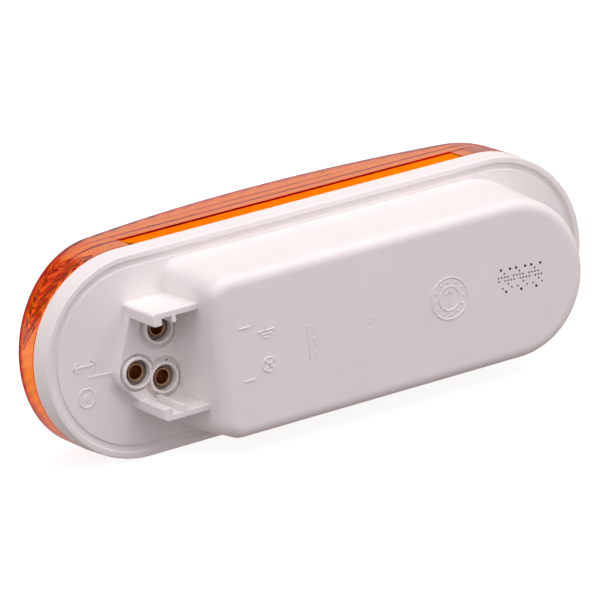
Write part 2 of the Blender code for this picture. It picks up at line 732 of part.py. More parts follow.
def terminals():
    """The board, the three turned terminals with their collars, and the seal round the collars."""
    board_high = FLOOR_Y - GAP
    board_low = board_high - BOARD_THICKNESS
    collar_high = board_low - GAP
    collar_low = collar_high - COLLAR_THICKNESS
    seal_high = board_low - GAP
    bay = rectangle(*BOARD_X, -BOARD_HALF_HEIGHT, BOARD_HALF_HEIGHT)
    board = prism("terminal_board", bay, board_low, board_high, BOARD)
    seal = prism("terminal_seal", bay, seal_high - SEAL_THICKNESS, seal_high, POTTING)
    for name, centre in SOCKETS.items():
        profile = [
            (0, TERMINAL_FLOOR),
            (TERMINAL_BORE, TERMINAL_FLOOR),
            (TERMINAL_BORE, TERMINAL_TOP),
            (TERMINAL_RADIUS, TERMINAL_TOP),
            (TERMINAL_RADIUS, SHOULDER_Y[1]),
            (SHOULDER_RADIUS, SHOULDER_Y[1]),
            (SHOULDER_RADIUS, SHOULDER_Y[0]),
            (TERMINAL_RADIUS, SHOULDER_Y[0]),
            (TERMINAL_RADIUS, collar_high),
            (COLLAR_RADIUS, collar_high),
            (COLLAR_RADIUS, collar_low),
            (TAIL_RADIUS, collar_low),
            (TAIL_RADIUS, TAIL_END),
            (0, TAIL_END),
        ]
        turned(f"terminal_{name}", profile, centre, BRASS)
    for piece, low, high, radius in (
        (board, board_low, board_high, TERMINAL_RADIUS + GAP),
        (seal, seal_high - SEAL_THICKNESS, seal_high, COLLAR_RADIUS + GAP),
    ):
        ends = (low - CUT_OVERRUN, high + CUT_OVERRUN)
        holes = [
            cylinder(f"{piece.name}_{name}", centre, radius, *ends, cutter=True)
            for name, centre in SOCKETS.items()
        ]
        combine(piece, holes, "DIFFERENCE")


def leads():
    """The three insulated leads, from the terminals down beside the reflector to the bulb."""
    joint_x, joint_depth = LEAD_JOINT
    joint_y = INSULATOR_Y[1] + 2 * GAP + joint_depth
    for name, (x, z) in SOCKETS.items():
        lane = LEAD_LANES[name]
        tail = [(x - back, TAIL_END - drop, z) for back, drop in TAIL_ROUTE]
        tail[-1] = (*tail[-1][:2], z + LANE_SHARE * (lane - z))
        points = tail + [(lane_x, y, lane) for lane_x, y in LANE_ROUTE]
        points += LEAD_ENDS[name]
        if name in CONTACT_SIDES:
            points.append((joint_x, joint_y, CONTACT_SIDES[name] * CONTACT_Z))
        route = smooth_route([Vector(p) for p in points])
        tube(f"lead_{name}", route, LEAD_RADIUS, LEADS[name])


def clear_scene():
    """Start from an empty scene."""
    for old in list(bpy.data.objects):
        bpy.data.objects.remove(old)


def main():
    clear_scene()
    housing()
    lens()
    lens_bead()
    reflector()
    bulb()
    filaments()
    shock_mount()
    contacts()
    terminals()
    leads()


main()
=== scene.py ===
"""Looks of the oval trailer tail light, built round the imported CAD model.

The frame is the CAD's: +X runs along the lamp towards the plug bay, +Y points out of the back of the
housing, the lens faces -Y and +Z is up. Everything is in metres.
"""

import math

import bmesh
import bpy
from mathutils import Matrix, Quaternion, Vector


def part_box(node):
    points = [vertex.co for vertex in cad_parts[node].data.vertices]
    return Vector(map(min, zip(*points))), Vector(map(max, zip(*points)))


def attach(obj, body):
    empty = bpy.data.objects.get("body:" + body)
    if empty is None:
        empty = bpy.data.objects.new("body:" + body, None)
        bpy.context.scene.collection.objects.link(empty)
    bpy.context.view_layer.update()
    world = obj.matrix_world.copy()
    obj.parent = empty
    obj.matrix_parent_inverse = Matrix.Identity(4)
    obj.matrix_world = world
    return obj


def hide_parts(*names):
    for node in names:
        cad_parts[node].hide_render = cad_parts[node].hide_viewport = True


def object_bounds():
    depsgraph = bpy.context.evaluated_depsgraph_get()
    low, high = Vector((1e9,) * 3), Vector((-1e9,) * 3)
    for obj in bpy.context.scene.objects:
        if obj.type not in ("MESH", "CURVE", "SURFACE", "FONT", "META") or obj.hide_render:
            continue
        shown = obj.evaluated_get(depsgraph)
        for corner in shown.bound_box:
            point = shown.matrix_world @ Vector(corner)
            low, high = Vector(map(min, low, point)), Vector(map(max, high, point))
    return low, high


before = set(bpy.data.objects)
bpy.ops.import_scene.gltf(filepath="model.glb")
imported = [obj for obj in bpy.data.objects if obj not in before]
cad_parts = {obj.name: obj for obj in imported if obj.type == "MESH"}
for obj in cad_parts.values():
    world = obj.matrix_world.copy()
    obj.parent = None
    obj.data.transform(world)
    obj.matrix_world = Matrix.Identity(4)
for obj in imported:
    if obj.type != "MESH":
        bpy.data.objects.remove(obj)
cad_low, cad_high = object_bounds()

MM = 0.001

# Driving sizes, from the frame
housing_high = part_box("housing")[1]
lens_low, lens_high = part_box("lens")
LENGTH = lens_high.x - lens_low.x
RADIUS = lens_high.z
END_CENTRE = LENGTH / 2 - RADIUS
CROWN_DEPTH = -lens_low.y
MARK_HEIGHT = 0.2 * MM
BOX_DEPTH = housing_high.y - MARK_HEIGHT  # the raised marks reach the CAD's back face

# Flange
FLANGE_DEPTH = 6.6 * MM
REAR_RADIUS = RADIUS - 0.4 * MM
RIM_EDGE = 0.45 * MM
OPENING_RADIUS = RADIUS - 3.0 * MM
GROOVE_OUTER = 25.5 * MM
GROOVE_INNER = 23.6 * MM
GROOVE_DEPTH = 0.9 * MM
PLATE_Y = -0.4 * MM
FLOOR_Y = -3.8 * MM
CHANNEL_OUTER = 26.6 * MM
CHANNEL_INNER = 25.4 * MM
CHANNEL_FLOOR = -4.0 * MM

# Lens
LENS_END_DEPTH = 17.1 * MM
LENS_EDGE_RADIUS = 4.0 * MM
BEND_STEPS = 12
LENS_WALL = 2.2 * MM
LENS_FACE = 2.6 * MM
INNER_CORNER = (0.6 * MM, 1.2 * MM)  # inset and height of the corner between the inner wall and face
INNER_ROWS = 96
FACE_MARGIN = 0.5 * MM
FACE_ROWS = 24
LENS_FOOT = -FLANGE_DEPTH - 0.05 * MM
TONGUE = (25.7 * MM, 26.3 * MM, -4.9 * MM)  # inner and outer radius, and depth
FOOT_CHAMFER = 0.15 * MM
SCOOP_NEAR = 50.6 * MM
SCOOP_FAR = -52.0 * MM
SCOOP_RUN_OUT = (0.9 * MM, 0.3 * MM)  # at its near and far end
SCOOP_DEPTH = 0.14 * MM
SCOOP_HEIGHT = 7.0 * MM
SCOOP_SHARE = 0.9  # of the wall's height where the crown leaves less than the scoop's height
INNER_STEPS = (  # height over the lens's foot, inset, and inset in the scoop
    (1.2 * MM, 0.0, 0.0),
    (0.0, 0.0, 0.0),
)
OUTER_STEPS = (  # the same, up the outer wall
    (0.0, FOOT_CHAMFER, FOOT_CHAMFER),
    (FOOT_CHAMFER, 0.0, SCOOP_DEPTH),
    (SCOOP_HEIGHT - FOOT_CHAMFER, 0.0, SCOOP_DEPTH),
    (SCOOP_HEIGHT, 0.0, 0.0),
)
FLUTE_PITCH = 4.2 * MM
FLUTE_RISE = 0.05 * MM
PILLOW = (6.0 * MM, 3.2 * MM)  # along the lamp and across it
PILLOW_RISE = (0.35 * MM, 0.35 * MM)
PRISM_SPAN = (18, 72)  # degrees round the upper ends, with one point of the outline at each degree
PRISM_PITCH = 9  # degrees
PRISM_DEPTH = (1.2 * MM, 1.6 * MM)  # where they start and end
PRISM_LEAN = 26.0  # degrees that they turn along the lens's depth
LEAN_RAMP = 20.0  # degrees over which the lean comes in
WALL_ROWS = 30
WALL_MARGIN = 0.2 * MM
PAINTED_GLOW_MASK = "painted_glow_band"  # mesh attribute: 1 along the bend at the lens's two ends, where a glow is painted on
PAINTED_GLOW_FADE = 12.0 * MM
PAINTED_GLOW_RED = (1.0, 0.025, 0.0, 1.0)  # painted glow: an emission standing in for light piped to the bend by the plastic
PAINTED_GLOW_POWER = 0.62
PAINTED_GLOW_COVER = 0.85
AMBER_IOR = 1.49

# Back box
BOX_NEAR = 46.0 * MM
BOX_FAR = -69.1 * MM
BOX_HALF_HEIGHT = 22.9 * MM
BOX_WALL = 2.2 * MM
BOX_CORNER = 5.0 * MM
BOX_EDGE_RADIUS = 3.2 * MM
BOX_DRAFT = math.radians(3.8)

# Plug bay
BAY_TOP = 14.85 * MM
BAY_BOTTOM = -13.75 * MM
SHROUD_WALL = 1.5 * MM
SHROUD_END_X = 58.2 * MM
SHROUD_END_Y = 15.8 * MM
SHROUD_LIP = 2.4 * MM
SHROUD_RIB = (51.7 * MM, 52.9 * MM)
SHROUD_HANG = 3.3 * MM
ROOT_X = 44.1 * MM
PAD_STEP = 0.9 * MM
PAD_END_TOP = 57.6 * MM
PAD_END_BOTTOM = 56.8 * MM
PAD_TURN_RADIUS = 5.4 * MM
BLOCK_Y = 3.0 * MM
BOSS_Y = 3.8 * MM
BOSS_RADIUS = 4.2 * MM
SOCKET_RADIUS = 3.43 * MM
MOAT_FLOOR = 1.8 * MM
MOAT_RADII = {"ground": 5.6 * MM, "stop": 5.0 * MM, "tail": 5.6 * MM}

# Terminals
TERMINAL_RADIUS = 2.3 * MM
TERMINAL_BORE = 1.85 * MM
BORE_END = -5.0 * MM
COLLAR_RADIUS = 3.6 * MM
COLLAR_FACES = (-6.4 * MM, -7.2 * MM)
PIN_RADIUS = 1.0 * MM
SLEEVE_RADII = (2.36 * MM, 3.32 * MM)
SLEEVE_LEVELS = (-1.6 * MM, -0.55 * MM, -0.35 * MM)  # foot, inner lip and outer lip, from the terminal's top

# Marks
MARK_DRAFT = 0.09 * MM
MARK_ROOT = 0.1 * MM
STROKE = 0.5 * MM
THIN_STROKE = 0.35 * MM
DOT_PITCH = (0.95, 1.0)  # millimetres between the ink dots' columns and rows
DOT_SLOPE = 0.06

# Inside
BOWL_SHEET = 1.2 * MM
BULB_HOLE = 9.6 * MM
SCREW_HOLE = 1.5 * MM
SCREW_PLACES = (29.0 * MM, -42.0 * MM)
BULB_NECK = 6.6 * MM
BULB_WALL = 0.8 * MM
COIL_TURNS = 22
COIL_STEPS = 12
COIL_RADIUS = 0.4 * MM
COIL_WIRE = 0.08 * MM
COIL_SAG = 0.8 * MM

# Set. The lens's side is the front, and the raised marks' side is the back.
FLOOR_GLOW = 0.85
FLOOR_HALF = 6.0
PANEL_EDGE = (0.553, 0.465, 1.0)  # normal of the plane where the bright backdrop ends
BACKDROP = (0.56, 0.56, 0.56)
ROOM_FRONT = (0.26, 0.15, 0.13)
LOW_FRONT = (0.85, 0.17, 0.02)
ROOM_BACK = (0.66, 0.6, 0.645)
GROUND_FRONT = (0.5, 0.36, 0.33)
GROUND_BACK = (0.28, 0.245, 0.25)
SIDE = (1.0, 0.98, 0.98)
SIDE_AXIS = (0.8, -0.6, 0.0)
BEHIND = (0.6, 0.8, 0.0)
LIGHTS = {  # power, direction of travel and angular size
    "overhead": (2.0, (0.3, -0.4, -1.0), math.radians(70)),
    "plug_side": (0.4, (-0.7, -0.15, -0.75), math.radians(50)),
}
CAMERA_ANGLES = (150.437, 16.421, -6.359)  # azimuth, elevation and roll
CAMERA_TARGET = (4.42 * MM, -3.17 * MM, 1.91 * MM)
CAMERA_DISTANCE = 1325.8 * MM
CAMERA_LENS = 303.9  # focal length in millimetres, on a sensor 36 mm wide

# Steps round an end of the oval, a corner, a straight side and a turned piece
ARC_STEPS = 45
CORNER_STEPS = 12
SIDE_STEPS = 110
TURN_STEPS = 72


# Outlines are lists of (x, z), from the +X end over the top to the -X end and back underneath.


def arc(centre, radius, start, end, steps):
    """Points on an arc, angles in degrees, with both ends."""
    angles = [math.radians(start + (end - start) * i / steps) for i in range(steps + 1)]
    return [(centre[0] + radius * math.cos(a), centre[1] + radius * math.sin(a)) for a in angles]


def mirrored(upper):
    """Close an upper half outline with its mirror image below."""
    return upper + [(x, -z) for x, z in reversed(upper[1:-1])]


def side(near, far, height):
    """Inner points of a straight side."""
    return [(near + (far - near) * i / SIDE_STEPS, height) for i in range(1, SIDE_STEPS)]


def oval(radius):
    """The lamp's oval outline at a radius."""
    near = arc((END_CENTRE, 0), radius, 0, 90, ARC_STEPS)
    far = arc((-END_CENTRE, 0), radius, 90, 180, ARC_STEPS)
    return mirrored(near + side(END_CENTRE, -END_CENTRE, radius) + far)


def tray(near, far, height, corner):
    """An outline with a flat near end, small near corners and a round far end."""
    flat_steps = ARC_STEPS - CORNER_STEPS
    flat = [(near, (height - corner) * i / flat_steps) for i in range(flat_steps)]
    bend = arc((near - corner, height - corner), corner, 0, 90, CORNER_STEPS)
    far_centre = far + height
    round_end = arc((far_centre, 0), height, 90, 180, ARC_STEPS)
    return mirrored(flat + bend + side(near - corner, far_centre, height) + round_end)


def box_outline(y, inset=0.0):
    """The back box's outline at a depth, drawn in by its draft."""
    drawn_in = max(y, 0.0) * math.tan(BOX_DRAFT) + inset
    corner = max(BOX_CORNER - inset, 0.8 * MM)
    return tray(BOX_NEAR - drawn_in, BOX_FAR + drawn_in, BOX_HALF_HEIGHT - drawn_in, corner)


def rounded(corners, steps=6, closed=False):
    """A polyline through (a, b, radius) corners, with each corner eased by a curve of that radius."""
    count = len(corners)
    points = []
    for i, (a, b, radius) in enumerate(corners):
        here = Vector((a, b))
        if radius == 0 or not closed and i in (0, count - 1):
            points.append((a, b))
            continue
        before = Vector(corners[i - 1][:2]) - here
        after = Vector(corners[(i + 1) % count][:2]) - here
        half = before.angle(after) / 2
        reach = min(radius / math.tan(half), 0.49 * before.length, 0.49 * after.length)
        start = here + before.normalized() * reach
        end = here + after.normalized() * reach
        for k in range(steps + 1):
            t = k / steps
            points.append(tuple(start * (1 - t) ** 2 + here * 2 * t * (1 - t) + end * t * t))
    return points


def grown(outline, amount):
    """A closed outline moved outwards by an amount, corner by corner."""
    area = sum(a[0] * b[1] - b[0] * a[1] for a, b in zip(outline, outline[1:] + outline[:1]))
    turn = 1 if area > 0 else -1
    moved = []
    for i, point in enumerate(outline):
        before = Vector(point) - Vector(outline[i - 1])
        after = Vector(outline[(i + 1) % len(outline)]) - Vector(point)
        normals = [Vector((d.y, -d.x)).normalized() * turn for d in (before, after)]
        middle = (normals[0] + normals[1]).normalized()
        moved.append(tuple(Vector(point) + middle * amount / max(middle.dot(normals[0]), 0.5)))
    return moved


# Mesh building


def at(outline, y):
    """Place an outline at a depth, which may be a function of x and z."""
    depth = y if callable(y) else lambda x, z: y
    return [Vector((x, depth(x, z), z)) for x, z in outline]


def row_of(bm, ring):
    """New vertices at a ring's points."""
    return [bm.verts.new(p) for p in ring]


def band(bm, first, second):
    """Quads between two closed rows of equal count."""
    for i in range(len(first)):
        j = (i + 1) % len(first)
        bm.faces.new((first[i], first[j], second[j], second[i]))


def shell(bm, rows, loop=False):
    """Quads through a list of rows, and from the last row back to the first if it loops."""
    for first, second in zip(rows, rows[1:]):
        band(bm, first, second)
    if loop:
        band(bm, rows[-1], rows[0])


def smooth(mesh, angle=32):
    """Smooth shading, with edges over an angle in degrees kept sharp."""
    mesh.shade_smooth()
    mesh.set_sharp_from_angle(angle=math.radians(angle))


def to_object(name, bm, angle=32):
    """Turn a bmesh into a smooth-shaded object in the scene."""
    bmesh.ops.recalc_face_normals(bm, faces=bm.faces)
    mesh = bpy.data.meshes.new(name)
    bm.to_mesh(mesh)
    bm.free()
    smooth(mesh, angle)
    made = bpy.data.objects.new(name, mesh)
    bpy.context.scene.collection.objects.link(made)
    return made


def lofted(name, rings, loop=False):
    """A solid through rings, capped at both ends unless it loops."""
    bm = bmesh.new()
    rows = [row_of(bm, ring) for ring in rings]
    shell(bm, rows, loop)
    if not loop:
        bm.faces.new(rows[0])
        bm.faces.new(rows[-1])
    return to_object(name, bm)


def turned(name, profile, centre=(0, 0), closed=False, angle=32):
    """A solid turned about an axis along Y through centre (x, z), from a profile of (radius, y)."""
    bm = bmesh.new()
    x, z = centre
    points = [bm.verts.new((x + r, y, z)) for r, y in profile]
    edges = [bm.edges.new(pair) for pair in zip(points, points[1:])]
    if closed:
        edges.append(bm.edges.new((points[-1], points[0])))
    bmesh.ops.spin(bm, geom=points + edges, cent=(x, 0, z), axis=(0, 1, 0), angle=math.tau,
                   steps=TURN_STEPS, use_merge=True)
    bmesh.ops.remove_doubles(bm, verts=bm.verts, dist=0.0005 * MM)
    return to_object(name, bm, angle)


def prism(name, outline, low, high, edge):
    """An extrusion along Y of an outline of (x, z), with both its ends rounded by an edge radius."""
    angles = [math.radians(90 * k / 4) for k in range(5)]
    steps = [(-edge * (1 - math.sin(a)), edge * (1 - math.cos(a))) for a in angles]
    rings = [at(grown(outline, inset), low + rise) for inset, rise in steps]
    rings += [at(grown(outline, inset), high - rise) for inset, rise in reversed(steps)]
    return lofted(name, rings)


def combine(target, tools, operation):
    """Join or cut with a list of tool objects, then remove them."""
    group = bpy.data.collections.new(f"{target.name}_{operation.lower()}")
    bpy.context.scene.collection.children.link(group)
    for tool in tools:
        group.objects.link(tool)
        bpy.context.scene.collection.objects.unlink(tool)
    modifier = target.modifiers.new("combine", "BOOLEAN")
    modifier.operation = operation
    modifier.solver = "EXACT"
    modifier.operand_type = "COLLECTION"
    modifier.collection = group
    graph = bpy.context.evaluated_depsgraph_get()
    mesh = bpy.data.meshes.new_from_object(target.evaluated_get(graph))
    target.modifiers.clear()
    target.data = mesh
    for tool in tools:
        bpy.data.objects.remove(tool)
    bpy.data.collections.remove(group)


def wire(name, points, radius):
    """A round wire along points."""
    curve = bpy.data.curves.new(name, "CURVE")
    curve.dimensions = "3D"
    curve.bevel_depth = radius
    curve.bevel_resolution = 3
    curve.use_fill_caps = True
    spline = curve.splines.new("POLY")
    spline.points.add(len(points) - 1)
    for spot, point in zip(spline.points, points):
        spot.co = (*point, 1.0)
    made = bpy.data.objects.new(name, curve)
    bpy.context.scene.collection.objects.link(made)
    return made


# Materials


def node(tree, kind, inputs=(), **settings):
    """Add a node, set its properties, then set or link its inputs."""
    made = tree.nodes.new("ShaderNode" + kind)
    for key, value in settings.items():
        setattr(made, key, value)
    for key, value in dict(inputs).items():
        if isinstance(value, bpy.types.NodeSocket):
            tree.links.new(value, made.inputs[key])
        else:
            made.inputs[key].default_value = value
    return made


def noise(tree, place, size, detail=4.0, roughness=0.55):
    """A noise whose features are about a size in metres."""
    inputs = {"Vector": place, "Scale": 1 / size, "Detail": detail, "Roughness": roughness}
    return node(tree, "TexNoise", inputs).outputs["Fac"]


def spread(tree, value, low, high, from_low=0.3, from_high=0.7):
    """Map a value, by default a noise's middle range, onto low to high."""
    inputs = {"Value": value, "From Min": from_low, "From Max": from_high, "To Min": low, "To Max": high}
    return node(tree, "MapRange", inputs).outputs["Result"]


def blend_colours(tree, factor, first, second):
    """Mix two colours, each an (r, g, b) or another node's output."""
    mix = node(tree, "Mix", data_type="RGBA")
    tree.links.new(factor, mix.inputs["Factor"])
    for key, colour in (("A", first), ("B", second)):
        if isinstance(colour, bpy.types.NodeSocket):
            tree.links.new(colour, mix.inputs[key])
        else:
            mix.inputs[key].default_value = (*colour, 1)
    return mix.outputs["Result"]


def material(name, first, second, roughness, blotch, grain, relief, sockets=()):
    """A surface whose colour drifts between two colours, with varied roughness and a fine relief.

    blotch and grain are the sizes of the colour drift and of the relief, and relief is its height.
    """
    made = bpy.data.materials.new(name)
    made.use_nodes = True
    tree = made.node_tree
    shader = tree.nodes["Principled BSDF"]
    place = node(tree, "TexCoord").outputs["Object"]
    colour = blend_colours(tree, spread(tree, noise(tree, place, blotch), 0, 1), first, second)
    tree.links.new(colour, shader.inputs["Base Color"])
    rough = spread(tree, noise(tree, place, blotch * 0.4, 6), *roughness)
    tree.links.new(rough, shader.inputs["Roughness"])
    bump = node(tree, "Bump", {"Height": noise(tree, place, grain, 3), "Distance": relief, "Strength": 1.0})
    tree.links.new(bump.outputs["Normal"], shader.inputs["Normal"])
    for key, value in dict(sockets).items():
        shader.inputs[key].default_value = value
    return made


def scoop_mask(tree):
    """1 where the lens's scoops are and 0 elsewhere."""
    parts = node(tree, "SeparateXYZ", {"Vector": node(tree, "TexCoord").outputs["Object"]})
    length = {0: parts.outputs["X"], 1: (SCOOP_NEAR + SCOOP_FAR) / 2, 2: (SCOOP_NEAR - SCOOP_FAR) / 2}
    height = {0: parts.outputs["Y"], 1: LENS_FOOT - SCOOP_HEIGHT / 2, 2: SCOOP_HEIGHT / 2}
    inside = [node(tree, "Math", spans, operation="COMPARE").outputs["Value"] for spans in (length, height)]
    return node(tree, "Math", {0: inside[0], 1: inside[1]}, operation="MULTIPLY").outputs["Value"]


def lens_skin(made, ior):
    """Take the mirror gloss off a lens's scoops, and paint a glow onto the bends at its ends: an emission
    standing in for light piped through the plastic.
    """
    tree = made.node_tree
    plain = node(tree, "BsdfRefraction", {"Color": (1, 1, 1, 1), "Roughness": 0.0, "IOR": ior})
    glossy = tree.nodes["Principled BSDF"].outputs["BSDF"]
    walls = node(tree, "MixShader", {0: scoop_mask(tree), 1: glossy, 2: plain.outputs["BSDF"]})
    glow_mask = node(tree, "Attribute", attribute_name=PAINTED_GLOW_MASK).outputs["Fac"]
    glow_cover = spread(tree, glow_mask, 0, PAINTED_GLOW_COVER, 0, 1)
    # painted glow: the bends emit light though the lens is no lamp
    painted_glow = node(tree, "Emission", {"Color": PAINTED_GLOW_RED, "Strength": PAINTED_GLOW_POWER}).outputs["Emission"]
    skin = node(tree, "MixShader", {0: glow_cover, 1: walls.outputs["Shader"], 2: painted_glow})
    tree.links.new(skin.outputs["Shader"], tree.nodes["Material Output"].inputs["Surface"])


def clear_plastic(name, absorbed, roughness, ior, relief):
    """A clear moulding that absorbs light with depth, by a loss per metre of red, green and blue."""
    made = bpy.data.materials.new(name)
    made.use_nodes = True
    tree = made.node_tree
    shader = tree.nodes["Principled BSDF"]
    shader.inputs["Base Color"].default_value = (1, 1, 1, 1)
    shader.inputs["Transmission Weight"].default_value = 1
    shader.inputs["IOR"].default_value = ior
    place = node(tree, "TexCoord").outputs["Object"]
    rough = spread(tree, noise(tree, place, 3 * MM, 5), *roughness)
    tree.links.new(rough, shader.inputs["Roughness"])
    bump = node(tree, "Bump", {"Height": noise(tree, place, 5 * MM, 2), "Distance": relief, "Strength": 1.0})
    tree.links.new(bump.outputs["Normal"], shader.inputs["Normal"])
    density = max(absorbed)
    volume = node(tree, "VolumeAbsorption")
    volume.inputs["Color"].default_value = (*(1 - a / density for a in absorbed), 1)
    volume.inputs["Density"].default_value = density
    tree.links.new(volume.outputs["Volume"], tree.nodes["Material Output"].inputs["Volume"])
    return made


WHITE = material(
    "white_moulding", (0.855, 0.815, 0.795), (0.875, 0.845, 0.83), (0.36, 0.5), 14 * MM, 0.5 * MM, 0.004 * MM,
)
AMBER = clear_plastic("amber_moulding", (24, 285, 2000), (0.0, 0.03), AMBER_IOR, 0.01 * MM)
lens_skin(AMBER, AMBER_IOR)
GLASS = clear_plastic("bulb_glass_clear", (6, 3, 4), (0.0, 0.02), 1.5, 0.01 * MM)
BEAD = material(
    "adhesive_bead", (0.75, 0.66, 0.5), (0.82, 0.76, 0.66), (0.25, 0.45), 6 * MM, 1.2 * MM, 0.05 * MM,
)
CHROME = material(
    "vacuum_metallised", (0.86, 0.87, 0.88), (0.92, 0.93, 0.94), (0.04, 0.12), 9 * MM, 2 * MM, 0.006 * MM,
    {"Metallic": 1.0},
)
BRASS = material(
    "brass", (0.62, 0.4, 0.2), (0.83, 0.6, 0.3), (0.18, 0.36), 1.8 * MM, 0.25 * MM, 0.006 * MM,
    {"Metallic": 1.0},
)
TERMINAL = material(
    "terminal_brass", (0.42, 0.25, 0.13), (0.72, 0.47, 0.27), (0.22, 0.42), 1.1 * MM, 0.2 * MM, 0.01 * MM,
    {"Metallic": 1.0},
)
SLEEVE = material(
    "tarnished_sleeve", (0.05, 0.036, 0.03), (0.4, 0.33, 0.27), (0.3, 0.6), 0.28 * MM, 0.2 * MM, 0.03 * MM,
    {"Metallic": 0.6},
)
STEEL = material(
    "spring_steel", (0.5, 0.5, 0.52), (0.68, 0.68, 0.7), (0.22, 0.38), 3 * MM, 0.3 * MM, 0.005 * MM,
    {"Metallic": 1.0},
)
TUNGSTEN = material(
    "tungsten", (0.2, 0.2, 0.22), (0.34, 0.33, 0.33), (0.35, 0.5), 1 * MM, 0.1 * MM, 0.004 * MM,
    {"Metallic": 1.0},
)
SOLDER = material(
    "solder", (0.5, 0.5, 0.52), (0.7, 0.7, 0.7), (0.25, 0.5), 0.7 * MM, 0.3 * MM, 0.02 * MM,
    {"Metallic": 1.0},
)
BLACK = material(
    "black_insulator", (0.012, 0.012, 0.012), (0.03, 0.03, 0.03), (0.25, 0.45), 2 * MM, 0.3 * MM, 0.01 * MM,
)
LAMINATE = material(
    "brown_laminate", (0.2, 0.1, 0.045), (0.34, 0.19, 0.09), (0.45, 0.7), 1.2 * MM, 0.15 * MM, 0.02 * MM,
)
SILICONE = material(
    "silicone_rubber", (0.1, 0.1, 0.11), (0.18, 0.18, 0.19), (0.55, 0.8), 2 * MM, 0.25 * MM, 0.02 * MM,
)
POTTING = material(
    "potting_compound", (0.05, 0.045, 0.04), (0.12, 0.11, 0.1), (0.3, 0.5), 4 * MM, 0.8 * MM, 0.05 * MM,
)
INK = material(
    "black_ink", (0.01, 0.01, 0.012), (0.03, 0.03, 0.032), (0.45, 0.7), 0.5 * MM, 0.1 * MM, 0.004 * MM,
)
LEAD_COLOURS = {
    "ground": material(
        "lead_white", (0.7, 0.7, 0.67), (0.82, 0.82, 0.8), (0.35, 0.5), 4 * MM, 0.3 * MM, 0.008 * MM,
    ),
    "stop": material(
        "lead_yellow", (0.72, 0.5, 0.04), (0.85, 0.64, 0.08), (0.35, 0.5), 4 * MM, 0.3 * MM, 0.008 * MM,
    ),
    "tail": material(
        "lead_brown", (0.16, 0.07, 0.03), (0.26, 0.13, 0.06), (0.35, 0.5), 4 * MM, 0.3 * MM, 0.008 * MM,
    ),
}


def dress(piece, finish, slot, *nodes):
    """Give a new piece its material and its body, and hide the CAD nodes that it stands for. slot is not
    used.
    """
    piece.data.materials.clear()
    piece.data.materials.append(finish)
    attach(piece, "root")
    if nodes:
        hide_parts(*nodes)


def refinish(names, finish):
    """Give carried-over CAD nodes a material."""
    for name in names:
        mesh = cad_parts[name].data
        mesh.materials.clear()
        mesh.materials.append(finish)


# Housing


def socket_places():
    """The three sockets' centres, from the CAD's terminals."""
    places = {}
    for name in MOAT_RADII:
        low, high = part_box(f"terminal_{name}")
        places[name] = ((low.x + high.x) / 2, (low.z + high.z) / 2)
    return places


def housing_shell():
    """The moulded shell: box, plate, rear groove and flange, open to the lens."""
    inside = [at(box_outline(BOX_DEPTH, BOX_WALL + inset), y) for inset, y in rounded([
        (6 * MM, BOX_DEPTH - BOX_WALL, 0),
        (0, BOX_DEPTH - BOX_WALL, 1.5 * MM),
        (0, BOX_DEPTH - 6 * MM, 0),
    ])]
    inside.append(at(box_outline(0.0, BOX_WALL), 0.0))
    inside.append(at(box_outline(0.0, BOX_WALL), FLOOR_Y))
    flange = [at(oval(radius), y) for radius, y in rounded([
        (OPENING_RADIUS, FLOOR_Y, 0),
        (OPENING_RADIUS, -FLANGE_DEPTH, 0.2 * MM),
        (CHANNEL_INNER, -FLANGE_DEPTH, 0.15 * MM),
        (CHANNEL_INNER, CHANNEL_FLOOR, 0.1 * MM),
        (CHANNEL_OUTER, CHANNEL_FLOOR, 0.1 * MM),
        (CHANNEL_OUTER, -FLANGE_DEPTH, 0.15 * MM),
        (RADIUS, -FLANGE_DEPTH, 0.25 * MM),
        (REAR_RADIUS, 0.0, RIM_EDGE),
        (GROOVE_OUTER, 0.0, 0.25 * MM),
        (GROOVE_OUTER - 0.1 * MM, -GROOVE_DEPTH, 0.35 * MM),
        (GROOVE_INNER + 0.1 * MM, -GROOVE_DEPTH, 0.35 * MM),
        (GROOVE_INNER, PLATE_Y, 0.2 * MM),
        (GROOVE_INNER - 0.3 * MM, PLATE_Y, 0),
    ], steps=4)]
    outside = [at(box_outline(y, inset), y) for inset, y in rounded([
        (-0.35 * MM, PLATE_Y, 0),
        (0, PLATE_Y, 0.35 * MM),
        (0, BOX_DEPTH, BOX_EDGE_RADIUS),
        (8 * MM, BOX_DEPTH, 0),
    ], steps=8)]
    return lofted("housing_body", inside + flange + outside)


def shroud(name, face, inward):
    """A plug shroud: a wall with an outer lip and an inner rib. inward is -1 or +1."""
    wall = face + inward * SHROUD_WALL
    edge = face + inward * SHROUD_HANG
    lip_x = SHROUD_END_X - SHROUD_LIP
    fine, soft = 0.15 * MM, 1.1 * MM
    outline = rounded([
        (ROOT_X, face, 0),
        (SHROUD_END_X, face, soft),
        (SHROUD_END_X, edge, 0.3 * MM),
        (lip_x, edge, 0.3 * MM),
        (lip_x, wall, fine),
        (SHROUD_RIB[1], wall, fine),
        (SHROUD_RIB[1], edge, 0.25 * MM),
        (SHROUD_RIB[0], edge, 0.25 * MM),
        (SHROUD_RIB[0], wall, fine),
        (ROOT_X, wall, 0),
    ], steps=3, closed=True)
    return prism(name, outline, -1.7 * MM, SHROUD_END_Y, edge=0.12 * MM)


